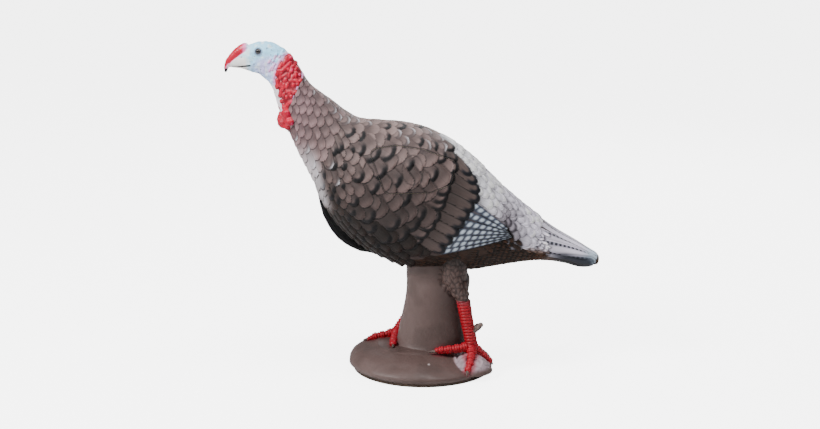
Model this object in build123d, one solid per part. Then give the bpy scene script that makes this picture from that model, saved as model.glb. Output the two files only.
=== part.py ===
from build123d import *

import math
import os

# Foam turkey decoy on a moulded pedestal, in millimetres. The bird faces -X, its left side is
# -Y and +Z is up. The origin is on the ground, in the middle of the pedestal. The torso lifts
# off the pedestal along +Z, and the replaceable vital core slides out of it along -Y.

# ---- driving dimensions ----------------------------------------------------------------
SLIP = 0.4              # gap between parts that move past each other
BOND = 0.05             # glue gap between parts that are bonded together
BOARD_THICK = 6.0
MOUND_LENGTH, MOUND_WIDTH = 308.0, 306.0
POST_CENTRE_X = 30.0
POST_HALF_LENGTH, POST_HALF_WIDTH = 65.0, 50.0
POST_NECK_Z = 205.0     # above this the post and thighs have straight sides
POST_TOP_Z = 262.0
THIGH_X, THIGH_Y, THIGH_RADIUS = 64.0, 46.0, 27.0
THIGH_MIDDLE_RADIUS, KNEE_RADIUS = 22.0, 14.0
CLAW_RADIUS, CLAW_TIP_RADIUS = 4.2, 1.6
TUBE_OUTER, TUBE_WALL, TUBE_TOP_Z = 26.9, 2.3, 362.0
SOCKET_WALL, SOCKET_FLOOR = 3.0, 4.0
FLANGE_RADIUS, FLANGE_THICK, FLANGE_BOLT_PCD = 45.0, 4.0, 66.0
BOLT_RADIUS, BOLT_LENGTH = 3.0, 16.5
BOLT_HEAD_RADIUS, BOLT_HEAD_THICK, BOLT_HEAD_RECESS = 6.0, 2.6, 3.0
NUT_ACROSS_FLATS, NUT_THICK = 10.0, 5.0
NUT_ROOM_RADIUS, NUT_ROOM_TOP_Z = 6.2, 19.0     # room in the pedestal over each nut
PEG_BORE_RADIUS, PEG_SLEEVE_WALL, PEG_SLEEVE_LENGTH, PEG_SLEEVE_END = 6.5, 2.0, 30.0, 3.0
PEG_SPREAD_X, PEG_Y = 95.0, 45.0
EYE_RADIUS, EYE_X, EYE_Y, EYE_Z = 6.2, -337.0, 13.6, 676.0
ROD_RADIUS = 4.0
KNUCKLE = 1.04          # size of a toe or shank joint against the stretch beside it
WATTLE_CENTRE, WATTLE_RADIUS = (-285, 0, 533), 17.5

# Cross-sections of the bird from tail tip to beak tip. Each is an ellipse across the body:
# (x, z of its upper end), (x, z of its lower end), half of its width.
TAIL = [
    ((371, 243), (363, 226), 30),
    ((354, 253), (335, 222), 37),
    ((322, 274), (298, 230), 42),
    ((285, 297), (262, 235), 47),
]
BODY = [
    ((248, 324), (215, 233), 54),
    ((204, 358), (160, 225), 67),
    ((158, 399), (101, 216), 85),
    ((115, 443), (38, 217), 101),
    ((68, 482), (-27, 222), 112),
    ((18, 512), (-80, 243), 116),
    ((-36, 527), (-133, 274), 112),
    ((-89, 532), (-180, 316), 101),
    ((-134, 537), (-209, 361), 85),
]
NECK = [
    ((-162, 553), (-227, 402), 68),
    ((-187, 573), (-244, 437), 56),
    ((-212, 591), (-260, 469), 47),
    ((-232, 607), (-274, 502), 39),
]
HEAD = [
    ((-245, 626), (-290, 531), 32),
    ((-253, 640), (-302, 570), 26),
    ((-262, 654), (-310, 597), 23),
    ((-274, 669), (-319, 613), 21),
    ((-291, 684), (-332, 624), 20),
    ((-317, 695), (-350, 632), 19),
    ((-344, 693), (-363, 636), 16),
    ((-365, 685), (-376, 640), 12.5),
    ((-380, 677), (-386, 641), 9.5),
    ((-394, 668), (-395, 642), 7.5),
    ((-402, 660), (-402, 643), 5.5),
]

# The hooked tip of the beak, as (x, y, z, radius).
HOOK = [(-399, 0, 652, 7.5), (-404.5, 0, 643, 5), (-406.5, 0, 633.5, 2.6)]

# Outline of the vital core, seen from the side, as (x, z); straight runs between rounded corners.
CORE_OUTLINE = [(-111, 485), (-56, 493), (0, 484), (68, 457), (56, 416), (14, 402), (-77, 401)]
CORE_CORNER = 12.0

# Middle line of the beard down the breast, as (x, z, half thickness, half width).
BEARD = [
    (-214, 373, 5, 9),
    (-201, 340, 12, 14),
    (-182, 312, 16, 18),
    (-167, 294, 17, 20),
    (-149, 280, 17, 20),
    (-129, 268, 15, 18),
    (-105, 262, 13, 15),
    (-74, 247, 9, 11),
    (-48, 229, 5, 7),
]


def across(upper, lower, half_width):
    """An elliptical section standing across the body between two points of its side profile."""
    (xu, zu), (xl, zl) = upper, lower
    height = math.dist(upper, lower)
    normal = ((zu - zl) / height, 0, -(xu - xl) / height)
    plane = Plane(origin=((xu + xl) / 2, 0, (zu + zl) / 2), x_dir=(0, 1, 0), z_dir=normal)
    return plane * Ellipse(half_width, height / 2)


def seam_plane(section):
    """The plane of a section, facing the tail."""
    (xu, zu), (xl, zl), _ = section
    height = math.dist((xu, zu), (xl, zl))
    normal = ((zu - zl) / height, 0, -(xu - xl) / height)
    return Plane(origin=(xl, 0, zl), x_dir=(0, 1, 0), z_dir=normal)


def cylinder_between(start, end, radius):
    """A straight round bar from start to end."""
    way = Vector(*end) - Vector(*start)
    plane = Plane(origin=start, z_dir=way)
    return extrude(plane * Circle(radius), way.length)


UP = (Align.CENTER, Align.CENTER, Align.MIN)    # a primitive that stands on its own base


def limb(points):
    """A rounded limb through (x, y, z, radius) points: cones between slightly larger knuckles."""
    shape = None
    for (ax, ay, az, ar), (bx, by, bz, br) in zip(points, points[1:]):
        way = Vector(bx, by, bz) - Vector(ax, ay, az)
        along = Plane(origin=(ax, ay, az), z_dir=way)
        if shape is None:
            shape = along * Sphere(KNUCKLE * ar)
        shape += along * Cone(ar, br, way.length, align=UP)
        shape += along.offset(way.length) * Sphere(KNUCKLE * br)
    return shape


# ---- the bird's outer shape, and how it is divided ---------------------------------------
def bird_shape():
    """The whole bird as one solid, with its hooked beak and the wattle at its throat."""
    bird = loft([across(*s) for s in TAIL + BODY + NECK + HEAD])
    wattle = Pos(*WATTLE_CENTRE) * Sphere(WATTLE_RADIUS)
    return bird + limb(HOOK) + wattle


def core_prism(growth=0.0):
    """The straight prism that the vital core is cut to, grown by a slip gap for its cavity."""
    wire = Wire.make_polygon([Vector(x, 0, z) for x, z in CORE_OUTLINE], close=True)
    rounded = wire.fillet_2d(CORE_CORNER, wire.vertices())
    face = Face(rounded)
    if growth:
        face = Face(rounded.offset_2d(growth))
    return extrude(face, 200, both=True)


def post_plan(growth=0.0):
    """Plan of the post's straight-sided upper end: an ellipse with a thigh on each side."""
    plan = Pos(POST_CENTRE_X, 0) * Ellipse(POST_HALF_LENGTH + growth, POST_HALF_WIDTH + growth)
    for side in (-1, 1):
        plan += Pos(THIGH_X, side * THIGH_Y) * Circle(THIGH_RADIUS + growth)
    return plan


def neck_rod_line():
    """Ends of the stiffening rod that joins torso, neck and head."""
    return (-139, 0, 430), (-281, 0, 622)


def tail_rod_line():
    """Ends of the stiffening rod that joins torso and tail."""
    return (128, 0, 330), (322, 0, 252)


def torso_casting(bird):
    body = split(bird, bisect_by=seam_plane(NECK[0]), keep=Keep.TOP)
    body = split(body, bisect_by=seam_plane(BODY[0]), keep=Keep.BOTTOM)
    body -= core_prism(SLIP)
    pocket_top = POST_TOP_Z + SLIP
    body -= Pos(0, 0, POST_NECK_Z - 40) * extrude(post_plan(SLIP), pocket_top - POST_NECK_Z + 40)
    sleeve_radius = TUBE_OUTER / 2 + SLIP + SOCKET_WALL + BOND
    bore_height = TUBE_TOP_Z + 2 + SOCKET_FLOOR + BOND - pocket_top + 10
    body -= Pos(POST_CENTRE_X, 0, pocket_top - 10) * extrude(Circle(sleeve_radius), bore_height)
    body -= cylinder_between(*neck_rod_line(), ROD_RADIUS + BOND)
    body -= cylinder_between(*tail_rod_line(), ROD_RADIUS + BOND)
    return body


def neck_casting(bird):
    neck = split(bird, bisect_by=seam_plane(NECK[0]), keep=Keep.BOTTOM)
    neck = split(neck, bisect_by=seam_plane(HEAD[0]), keep=Keep.TOP)
    return neck - cylinder_between(*neck_rod_line(), ROD_RADIUS + BOND)


def head_casting(bird):
    head = split(bird, bisect_by=seam_plane(HEAD[0]), keep=Keep.BOTTOM)
    head -= cylinder_between(*neck_rod_line(), ROD_RADIUS + BOND)
    for side in (-1, 1):
        head -= Pos(EYE_X, side * EYE_Y, EYE_Z) * Sphere(EYE_RADIUS + BOND)
    return head


def tail_casting(bird):
    tail = split(bird, bisect_by=seam_plane(BODY[0]), keep=Keep.TOP)
    return tail - cylinder_between(*tail_rod_line(), ROD_RADIUS + BOND)


def vital_core(bird):
    return bird & core_prism()


def eye(side):
    return Pos(EYE_X, side * EYE_Y, EYE_Z) * Sphere(EYE_RADIUS)


def beard(bird):
    """A tapering bundle of bristles that lies against the breast."""
    sections = []
    for i, (x, z, half_thick, half_width) in enumerate(BEARD):
        before, after = BEARD[max(i - 1, 0)], BEARD[min(i + 1, len(BEARD) - 1)]
        along = Vector(after[0] - before[0], 0, after[1] - before[1]).normalized()
        plane = Plane(origin=(x, 0, z), x_dir=(0, 1, 0), z_dir=along)
        sections.append(plane * Ellipse(half_width, half_thick))
    return loft(sections, ruled=True) - bird


def tube_socket():
    """Blind plastic sleeve, cast into the torso, that drops over the support tube."""
    bottom, inner = POST_TOP_Z + SLIP, TUBE_OUTER / 2 + SLIP
    height = TUBE_TOP_Z + 2 - bottom
    outer = Cylinder(inner + SOCKET_WALL, height + SOCKET_FLOOR, align=UP)
    bore = Cylinder(inner, height, align=UP)
    return Pos(POST_CENTRE_X, 0, bottom) * (outer - bore)


# ---- the pedestal ------------------------------------------------------------------------
def mound():
    """The low round mound of earth, thicker under the front foot and thin at the back."""
    levels = [
        (BOARD_THICK, 0, -5, -5),
        (14, -5, -3, 0),
        (26, -18, -17, -12),
        (38, -28, -38, -34),
        (47, -28, -68, -62),
        (52, -28, -84, -78),
    ]
    half_length, half_width = MOUND_LENGTH / 2, MOUND_WIDTH / 2
    return loft([Pos(x, 0, z) * Ellipse(half_length + a, half_width + b) for z, x, a, b in levels])


def post():
    """The waisted post that carries the bird, flared where it grows out of the mound."""
    levels = [
        (40, 22, 84, 70),
        (52, 22, 80, 64),
        (75, 24, 77, 58),
        (110, 26, 72, 53),
        (155, 29, 66, 50.5),
        (POST_NECK_Z, POST_CENTRE_X, POST_HALF_LENGTH, POST_HALF_WIDTH),
    ]
    lower = loft([Pos(x, 0, z) * Ellipse(a, b) for z, x, a, b in levels])
    upper = Pos(0, 0, POST_NECK_Z) * extrude(post_plan(), POST_TOP_Z - POST_NECK_Z)
    return lower + upper


def stone():
    """The flat stone on the mound that the left foot is planted on."""
    levels = [
        (12, 106, -72, 40, 46),
        (28, 103, -74, 34, 38),
        (42, 99, -68, 22, 24),
        (49, 97, -64, 12, 14),
    ]
    return loft([Pos(x, y, z) * Ellipse(a, b) for z, x, y, a, b in levels])


def thigh(side, middle, knee):
    """A thigh below the post's straight-sided end, tapering from the hip to the knee."""
    sections = [
        Pos(THIGH_X, side * THIGH_Y, POST_NECK_Z) * Circle(THIGH_RADIUS),
        Pos(*middle) * Circle(THIGH_MIDDLE_RADIUS),
        Pos(*knee) * Circle(KNEE_RADIUS),
    ]
    return loft(sections)


def left_leg_shape():
    """Left shank and three toes, planted towards the back of the mound."""
    ankle = (103, -58, 62, 10.5)
    shank = limb([(83, -57, 168, 12.5), (92, -58, 117, 11), ankle])
    front = limb([ankle, (78, -66, 58, 7.5), (48, -71, 56, 6.8), (30, -73, 55, 5.2)])
    side = limb([ankle, (101, -81, 45, 7.5), (97, -101, 33, 6.5), (93, -113, 27, 5)])
    rear = limb([ankle, (121, -55, 44, 7.5), (134, -54, 32, 6.2), (140, -53, 27, 5)])
    return shank + front + side + rear


def right_leg_shape():
    """Right foot, set forward, and its shank slanting back to the knee along the post."""
    ankle = (-54, 40, 63, 10.5)
    shank = limb([(45, 54, 166, 12.5), (12, 58, 140, 10.5), (-22, 54, 110, 10), ankle])
    front = limb([ankle, (-76, 36, 57.5, 7.5), (-100, 34, 53, 7), (-114, 33, 48.5, 5.2)])
    side = limb([ankle, (-60, 12, 58, 7), (-62, -12, 57, 6.4), (-63, -28, 56, 5.2)])
    rear = limb([ankle, (-50, 66, 57, 7.5), (-56, 86, 52, 6), (-58, 96, 48.5, 5)])
    return shank + front + side + rear


def claw(base, tip):
    """One claw as a cone with a rounded point."""
    return limb([(*base, CLAW_RADIUS), (*tip, CLAW_TIP_RADIUS)])


def left_claw_shapes():
    return [
        claw((28, -73.5, 54.5), (13, -76, 53)),
        claw((92.5, -115, 26), (90, -126, 19)),
        claw((141, -53, 26), (147, -53, 20)),
    ]


def right_claw_shapes():
    return [
        claw((-115.5, 33, 48.5), (-127, 32, 46)),
        claw((-63, -29.5, 56), (-63.5, -44, 54.5)),
        claw((-58.5, 97.5, 48), (-60, 109, 43)),
    ]


def spur_shape(x, y, z, sideways):
    """Blunt spur on the back of a shank, pointing backwards and up."""
    middle = (x + 11, y + 0.6 * sideways, z + 8, 7)
    return limb([(x, y, z, 8), middle, (x + 17, y + sideways, z + 12, 5)])


def peg_sleeve(x, y):
    """Blind plastic sleeve through the board for a ground peg, open below."""
    outer = Cylinder(PEG_BORE_RADIUS + PEG_SLEEVE_WALL, PEG_SLEEVE_LENGTH, align=UP)
    bore = Cylinder(PEG_BORE_RADIUS, PEG_SLEEVE_LENGTH - PEG_SLEEVE_END, align=UP)
    return Pos(x, y, 0) * (outer - bore)


def bolt_places():
    """Centres of the flange bolts."""
    angles = [math.radians(45 + 90 * i) for i in range(4)]
    reach = FLANGE_BOLT_PCD / 2
    return [(POST_CENTRE_X + reach * math.cos(a), reach * math.sin(a)) for a in angles]


def peg_places():
    return [(-PEG_SPREAD_X, -PEG_Y), (PEG_SPREAD_X, PEG_Y)]


def base_board():
    """Flat board under the mound that carries the flange and the peg sleeves."""
    board = extrude(Ellipse(MOUND_LENGTH / 2 - 6, MOUND_WIDTH / 2 - 6), BOARD_THICK)
    for x, y in bolt_places():
        board -= Pos(x, y, 0) * Cylinder(BOLT_RADIUS + BOND, 4 * BOARD_THICK)
        board -= Pos(x, y, 0) * Cylinder(BOLT_HEAD_RADIUS + BOND, 2 * BOLT_HEAD_RECESS)
    sleeve_radius = PEG_BORE_RADIUS + PEG_SLEEVE_WALL + BOND
    for x, y in peg_places():
        board -= Pos(x, y, 0) * Cylinder(sleeve_radius, 4 * BOARD_THICK)
    return board


def support_tube():
    bottom = BOARD_THICK + FLANGE_THICK
    tube = Cylinder(TUBE_OUTER / 2, TUBE_TOP_Z - bottom, align=UP)
    tube -= Cylinder(TUBE_OUTER / 2 - TUBE_WALL, TUBE_TOP_Z - bottom, align=UP)
    return Pos(POST_CENTRE_X, 0, bottom) * tube


def tube_flange():
    flange = Pos(POST_CENTRE_X, 0, BOARD_THICK) * Cylinder(FLANGE_RADIUS, FLANGE_THICK, align=UP)
    for x, y in bolt_places():
        flange -= Pos(x, y, 0) * Cylinder(BOLT_RADIUS + BOND, 4 * (BOARD_THICK + FLANGE_THICK))
    return flange


def flange_bolts():
    """Flat-headed bolts, pushed up through the board from below."""
    bolts = []
    for x, y in bolt_places():
        head = Cylinder(BOLT_HEAD_RADIUS, BOLT_HEAD_THICK, align=UP)
        shank = Cylinder(BOLT_RADIUS, BOLT_LENGTH, align=UP)
        bolts.append(Pos(x, y, BOLT_HEAD_RECESS - BOLT_HEAD_THICK) * (head + shank))
    return Compound(bolts)


def flange_nuts():
    nuts = []
    for x, y in bolt_places():
        nut = extrude(RegularPolygon(NUT_ACROSS_FLATS / 2, 6, major_radius=False), NUT_THICK)
        nut -= Cylinder(BOLT_RADIUS + BOND, 4 * NUT_THICK)
        nuts.append(Pos(x, y, BOARD_THICK + FLANGE_THICK) * nut)
    return Compound(nuts)


def pedestal_casting(inserts):
    """Mound, post and thighs in one foam casting, hollowed for what is cast into it."""
    casting = mound() + post() + stone()
    casting += thigh(-1, (73, -52, 186), (83, -56, 160))
    casting += thigh(1, (60, 50, 185), (47, 53, 160))
    for shape in inserts:
        casting -= shape
    return casting


def steelwork_room():
    """The space that tube, flange, nuts and peg sleeves take up inside the pedestal casting."""
    centre = Pos(POST_CENTRE_X, 0, 0)
    flange_top = BOARD_THICK + FLANGE_THICK + BOND
    room = [
        centre * Cylinder(TUBE_OUTER / 2 + BOND, POST_TOP_Z + 20, align=UP),
        centre * Cylinder(FLANGE_RADIUS + BOND, flange_top, align=UP),
    ]
    for x, y in bolt_places():
        room.append(Pos(x, y, 0) * Cylinder(NUT_ROOM_RADIUS, NUT_ROOM_TOP_Z, align=UP))
    sleeve_radius = PEG_BORE_RADIUS + PEG_SLEEVE_WALL + BOND
    for x, y in peg_places():
        sleeve = Cylinder(sleeve_radius, PEG_SLEEVE_LENGTH + BOND, align=UP)
        room.append(Pos(x, y, 0) * sleeve)
    return room


# ---- build and write ----------------------------------------------------------------------
def main():
    bird = bird_shape()
    pedestal = pedestal_casting(steelwork_room())
    left_leg, right_leg = left_leg_shape(), right_leg_shape()
    left_spur, right_spur = spur_shape(104, -58, 95, 0), spur_shape(-28, 55, 92, 6)
    left_claws = [c - left_leg - pedestal for c in left_claw_shapes()]
    right_claws = [c - right_leg - pedestal for c in right_claw_shapes()]
    nodes = {
        "torso_casting": torso_casting(bird),
        "vital_core": vital_core(bird),
        "neck_casting": neck_casting(bird),
        "head_casting": head_casting(bird),
        "tail_casting": tail_casting(bird),
        "left_eye": eye(-1),
        "right_eye": eye(1),
        "beard": beard(bird),
        "neck_rod": cylinder_between(*neck_rod_line(), ROD_RADIUS),
        "tail_rod": cylinder_between(*tail_rod_line(), ROD_RADIUS),
        "tube_socket": tube_socket(),
        "pedestal_casting": pedestal,
        "left_leg": left_leg - pedestal,
        "right_leg": right_leg - pedestal,
        "left_claws": Compound([s for c in left_claws for s in c.solids()]),
        "right_claws": Compound([s for c in right_claws for s in c.solids()]),
        "left_spur": left_spur - left_leg - pedestal,
        "right_spur": right_spur - right_leg - pedestal,
        "base_board": base_board(),
        "support_tube": support_tube(),
        "tube_flange": tube_flange(),
        "flange_bolts": flange_bolts(),
        "flange_nuts": flange_nuts(),
        "peg_sleeves": Compound([peg_sleeve(x, y) for x, y in peg_places()]),
    }
    os.makedirs("parts", exist_ok=True)
    for name, shape in nodes.items():
        solids = shape.solids()
        print(name, len(solids), [round(s.volume) for s in solids][:8])
        export_step(shape, f"parts/{name}.step")


main()
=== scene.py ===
"""Looks of a foam turkey decoy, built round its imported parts.

Lengths are in millimetres and turn into metres when a mesh is made. The bird faces -X, its
left side is -Y and +Z is up. The plumage is one list of overlapping feathers that every
casting's surface is raised and painted by, so it runs on across the seams.
"""

import math

import bpy
import numpy as np
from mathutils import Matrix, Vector
from mathutils.bvhtree import BVHTree
from mathutils.kdtree import KDTree


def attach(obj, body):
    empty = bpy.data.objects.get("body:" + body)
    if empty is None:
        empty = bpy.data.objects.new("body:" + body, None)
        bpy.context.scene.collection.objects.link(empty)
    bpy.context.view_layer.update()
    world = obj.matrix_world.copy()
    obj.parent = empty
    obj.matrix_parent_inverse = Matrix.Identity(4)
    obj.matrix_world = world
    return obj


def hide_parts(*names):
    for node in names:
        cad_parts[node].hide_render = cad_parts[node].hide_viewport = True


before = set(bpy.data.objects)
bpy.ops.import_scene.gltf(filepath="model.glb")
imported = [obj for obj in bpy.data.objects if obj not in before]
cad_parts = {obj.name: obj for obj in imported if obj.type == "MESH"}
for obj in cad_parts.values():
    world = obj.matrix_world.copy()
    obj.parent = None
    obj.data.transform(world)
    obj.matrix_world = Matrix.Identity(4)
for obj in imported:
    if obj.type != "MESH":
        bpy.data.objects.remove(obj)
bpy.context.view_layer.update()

MM = 0.001
SLIP = 0.4          # gap round the post and round the vital core
rng = np.random.default_rng(11)

# ---- the bird's body: ellipses across it, from tail tip to beak tip ------------------------
# (x, z of the upper end, x, z of the lower end, half of the width)
STATIONS = np.array([
    (371, 243, 363, 226, 30), (354, 253, 335, 222, 37), (322, 274, 298, 230, 42),
    (285, 297, 262, 235, 47),
    (248, 324, 215, 233, 54), (204, 358, 160, 225, 67), (158, 399, 101, 216, 85),
    (115, 443, 38, 217, 101), (68, 482, -27, 222, 112), (18, 512, -80, 243, 116),
    (-36, 527, -133, 274, 112), (-89, 532, -180, 316, 101), (-134, 537, -209, 361, 85),
    (-162, 553, -227, 402, 68), (-187, 573, -244, 437, 56), (-212, 591, -260, 469, 47),
    (-232, 607, -274, 502, 39),
    (-245, 626, -290, 531, 32), (-253, 640, -302, 570, 26), (-262, 654, -310, 597, 23),
    (-274, 669, -319, 613, 21), (-291, 684, -332, 624, 20), (-317, 695, -350, 632, 19),
    (-344, 693, -363, 636, 16), (-365, 685, -376, 640, 12.5), (-380, 677, -386, 641, 9.5),
    (-394, 668, -395, 642, 7.5), (-402, 660, -402, 643, 5.5)], float)
TAIL_SEAM, NECK_SEAM, HEAD_SEAM = 4, 13, 17      # the stations that the castings part at

_centre = (STATIONS[:, 0:2] + STATIONS[:, 2:4]) / 2
_step = np.hypot(*np.diff(_centre, axis=0).T)
REACH = np.concatenate([[0], np.cumsum(_step)])  # mm from the tail tip, along the body
_slope = np.diff(STATIONS, axis=0) / _step[:, None]
_tangent = np.vstack([
    _slope[:1],
    (_slope[1:] * _step[:-1, None] + _slope[:-1] * _step[1:, None])
    / (_step[1:] + _step[:-1])[:, None],
    _slope[-1:]])


def section(s):
    """The body's ellipse at s mm from the tail tip, smooth between the stations."""
    i = np.clip(np.searchsorted(REACH, s, "right") - 1, 0, len(REACH) - 2)
    f = ((s - REACH[i]) / _step[i])[..., None]
    h = _step[i][..., None]
    return ((2 * f**3 - 3 * f**2 + 1) * STATIONS[i] + (f**3 - 2 * f**2 + f) * h * _tangent[i]
            + (3 * f**2 - 2 * f**3) * STATIONS[i + 1] + (f**3 - f**2) * h * _tangent[i + 1])


def surface(s, theta):
    """Points of the body; theta is 0 along the back and grows down the left side."""
    s, theta = np.broadcast_arrays(np.asarray(s, float), np.asarray(theta, float))
    q = section(s)
    middle, half = (q[..., 0:2] + q[..., 2:4]) / 2, (q[..., 0:2] - q[..., 2:4]) / 2
    xz = middle + np.cos(theta)[..., None] * half
    return np.stack([xz[..., 0], -np.sin(theta) * q[..., 4], xz[..., 1]], -1)


def unit(v):
    return v / np.maximum(np.linalg.norm(v, axis=-1, keepdims=True), 1e-9)


def directions(s, theta):
    """Unit vectors at a point of the body: tailward, downward round it, and outward."""
    tailward = unit(surface(s - 1.0, theta) - surface(s + 1.0, theta))
    down = unit(surface(s, theta + 0.01) - surface(s, theta - 0.01))
    outward = unit(np.cross(-tailward, down))
    return tailward, down, outward


def smooth(a, b, x):
    """0 below a, 1 above b, smooth between them; also works with a above b."""
    t = np.clip((x - a) / (b - a), 0, 1)
    return t * t * (3 - 2 * t)


# ---- meshes --------------------------------------------------------------------------------
def grid_faces(rows, columns):
    """Faces of a closed tube of rows of points, with a face over each end."""
    faces = []
    for a in range(0, (rows - 1) * columns, columns):
        b = a + columns
        faces += [(a + j, b + j, b + (j + 1) % columns, a + (j + 1) % columns)
                  for j in range(columns)]
    last = (rows - 1) * columns
    return faces + [tuple(range(columns)), tuple(reversed(range(last, last + columns)))]


def make_object(name, points, faces, metres=False):
    mesh = bpy.data.meshes.new(name)
    scale = 1.0 if metres else MM
    mesh.from_pydata((np.asarray(points) * scale).tolist(), [], faces)
    mesh.update()
    made = bpy.data.objects.new(name, mesh)
    bpy.context.scene.collection.objects.link(made)
    return made


def points_of(mesh):
    """A mesh's vertices and vertex normals, in mm."""
    count = len(mesh.vertices)
    co, no = np.zeros(count * 3, np.float32), np.zeros(count * 3, np.float32)
    mesh.vertices.foreach_get("co", co)
    mesh.vertices.foreach_get("normal", no)
    return co.reshape(-1, 3).astype(float) / MM, no.reshape(-1, 3).astype(float)


def set_points(mesh, points):
    mesh.vertices.foreach_set("co", (points * MM).astype(np.float32).ravel())
    mesh.update()


def linear(colour):
    """sRGB, 0 to 1, to the linear values that the materials use."""
    c = np.clip(np.asarray(colour, float), 0, 1)
    return np.where(c <= 0.04045, c / 12.92, ((c + 0.055) / 1.055) ** 2.4)


def rgb(r, g, b):
    return np.array([r, g, b], float) / 255


def blend(colours, other, share):
    """Colours moved towards another one, by a share of 0 to 1 at each point."""
    return colours + (other - colours) * share[:, None]


def store(mesh, name, values):
    """Keeps one float or one colour per vertex for the materials to read."""
    values = np.asarray(values, float)
    if values.ndim == 2:
        made = mesh.attributes.new(name, "FLOAT_COLOR", "POINT")
        rgba = np.ones((len(values), 4), np.float32)
        rgba[:, :3] = linear(values)
        made.data.foreach_set("color", rgba.ravel())
    else:
        made = mesh.attributes.new(name, "FLOAT", "POINT")
        made.data.foreach_set("value", values.astype(np.float32))


def apply_modifiers(made):
    """Turns an object's modifiers into its own mesh."""
    graph = bpy.context.evaluated_depsgraph_get()
    mesh = bpy.data.meshes.new_from_object(made.evaluated_get(graph))
    made.modifiers.clear()
    old, made.data = made.data, mesh
    bpy.data.meshes.remove(old)
    return made


def cut(made, cutter, operation="DIFFERENCE"):
    modifier = made.modifiers.new("cut", "BOOLEAN")
    modifier.operation, modifier.object, modifier.solver = operation, cutter, "MANIFOLD"
    return apply_modifiers(made)


def remove(*objects):
    for o in objects:
        bpy.data.objects.remove(o)


def prism(name, outline, low, high, axis="z"):
    """A straight prism over an outline of (x, y) points, or of (x, z) points along Y."""
    count = len(outline)
    lower = [(x, y, low) if axis == "z" else (x, low, y) for x, y in outline]
    upper = [(x, y, high) if axis == "z" else (x, high, y) for x, y in outline]
    faces = [(i, (i + 1) % count, count + (i + 1) % count, count + i) for i in range(count)]
    faces += [tuple(reversed(range(count))), tuple(range(count, 2 * count))]
    if axis != "z":
        faces = [tuple(reversed(f)) for f in faces]
    return make_object(name, lower + upper, faces)


def ring(cx, cy, a, b, count=72):
    turn = 2 * math.pi / count
    return [(cx + a * math.cos(i * turn), cy + b * math.sin(i * turn)) for i in range(count)]


def rounded(corners, radius, growth=0.0, steps=7):
    """A polygon with rounded corners, counter-clockwise or not, grown outwards."""
    p = np.array(corners, float)
    area = np.sum(p[:, 0] * np.roll(p[:, 1], -1) - p[:, 1] * np.roll(p[:, 0], -1))
    if area < 0:
        p = p[::-1]
    out = []
    for i in range(len(p)):
        before, here, after = p[i - 1], p[i], p[(i + 1) % len(p)]
        u, v = unit(before - here), unit(after - here)
        half = math.acos(float(np.clip(u @ v, -1, 1))) / 2
        middle = here + unit(u + v) * radius / math.sin(half)
        start = math.atan2(*(here + u * radius / math.tan(half) - middle)[::-1])
        end = math.atan2(*(here + v * radius / math.tan(half) - middle)[::-1])
        turn = (end - start + math.pi) % (2 * math.pi) - math.pi
        for k in range(steps):
            angle = start + turn * k / (steps - 1)
            outward = np.array([math.cos(angle), math.sin(angle)])
            out.append(tuple(middle + (radius + growth) * outward))
    return out


# ---- the plumage: one list of feathers, from the tail to the head --------------------------
BROWN, WING_BROWN, BELLY = rgb(124, 106, 103), rgb(100, 84, 81), rgb(44, 31, 25)
NECK_PINK, NECK_BROWN = rgb(152, 120, 124), rgb(122, 101, 100)
LILAC, GREY_LILAC, RUMP_WHITE = rgb(226, 220, 236), rgb(100, 92, 100), rgb(250, 250, 255)
BLACK, BLUE_BLACK, WHITE = rgb(12, 12, 15), rgb(14, 17, 25), rgb(232, 231, 238)
SPOT_WHITE, SPOT_GROUND, HAIR = rgb(222, 234, 248), rgb(66, 72, 86), rgb(52, 30, 15)
SECONDARY = rgb(84, 72, 69)

# Places on the left side, as (x, z), that the painter gave a black or a white feather tip.
BLACK_TIPS = [
    (-140, 513), (-120, 509), (-67, 506), (-178, 474), (-167, 477), (-143, 476), (-120, 477),
    (-92, 471), (-59, 472), (-29, 448), (-179, 446), (-159, 445), (-124, 425), (-95, 404),
    (-51, 412), (-31, 386), (-162, 407), (-183, 394), (-173, 369), (-135, 375), (-101, 345),
    (-152, 332), (-104, 315), (-52, 327), (-16, 327), (-82, 430), (-64, 525), (-34, 523),
    (1, 518), (1, 493), (31, 484), (48, 463), (20, 425), (-5, 344), (-68, 291),
    (-205, 418), (-203, 396), (-185, 380), (-118, 292), (-90, 280), (-40, 300), (-139, 352)]
WHITE_TIPS = [
    (-243, 613), (-225, 589), (-213, 581), (-196, 571), (-185, 565), (-182, 551), (-170, 556),
    (-169, 539), (-154, 532), (-146, 540), (-130, 531), (-107, 528), (-47, 510), (-30, 497),
    (-15, 511), (5, 498), (17, 508), (16, 485), (43, 493), (44, 476),
    (-262, 492), (-240, 470), (-231, 458), (-225, 437), (-219, 422), (-199, 417), (-204, 393),
    (-189, 443), (-177, 410)]

# The rear edge of the wing coverts, the rear edge of the secondaries, and the wing's tip.
COVERT_EDGE = [(63, 476), (68, 458), (69, 441), (61, 421), (52, 401), (46, 387), (42, 373),
               (32, 347), (22, 330), (9, 313), (-2, 300), (-14, 287)]
SECONDARY_TIPS = [(96, 428), (114, 404), (113, 380), (97, 356), (82, 332), (64, 303), (42, 273)]
SECONDARY_ROOTS = [(64, 462), (70, 438), (60, 412), (46, 386), (36, 358), (20, 332), (0, 304)]
PRIMARY_ROOTS = [(108, 366), (98, 350), (88, 334), (78, 318), (68, 303), (58, 289), (46, 276)]
WING_TIP = (178, 308)
UNDER_WING = 0.9                               # the layer just under the primaries, layer 1

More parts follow.
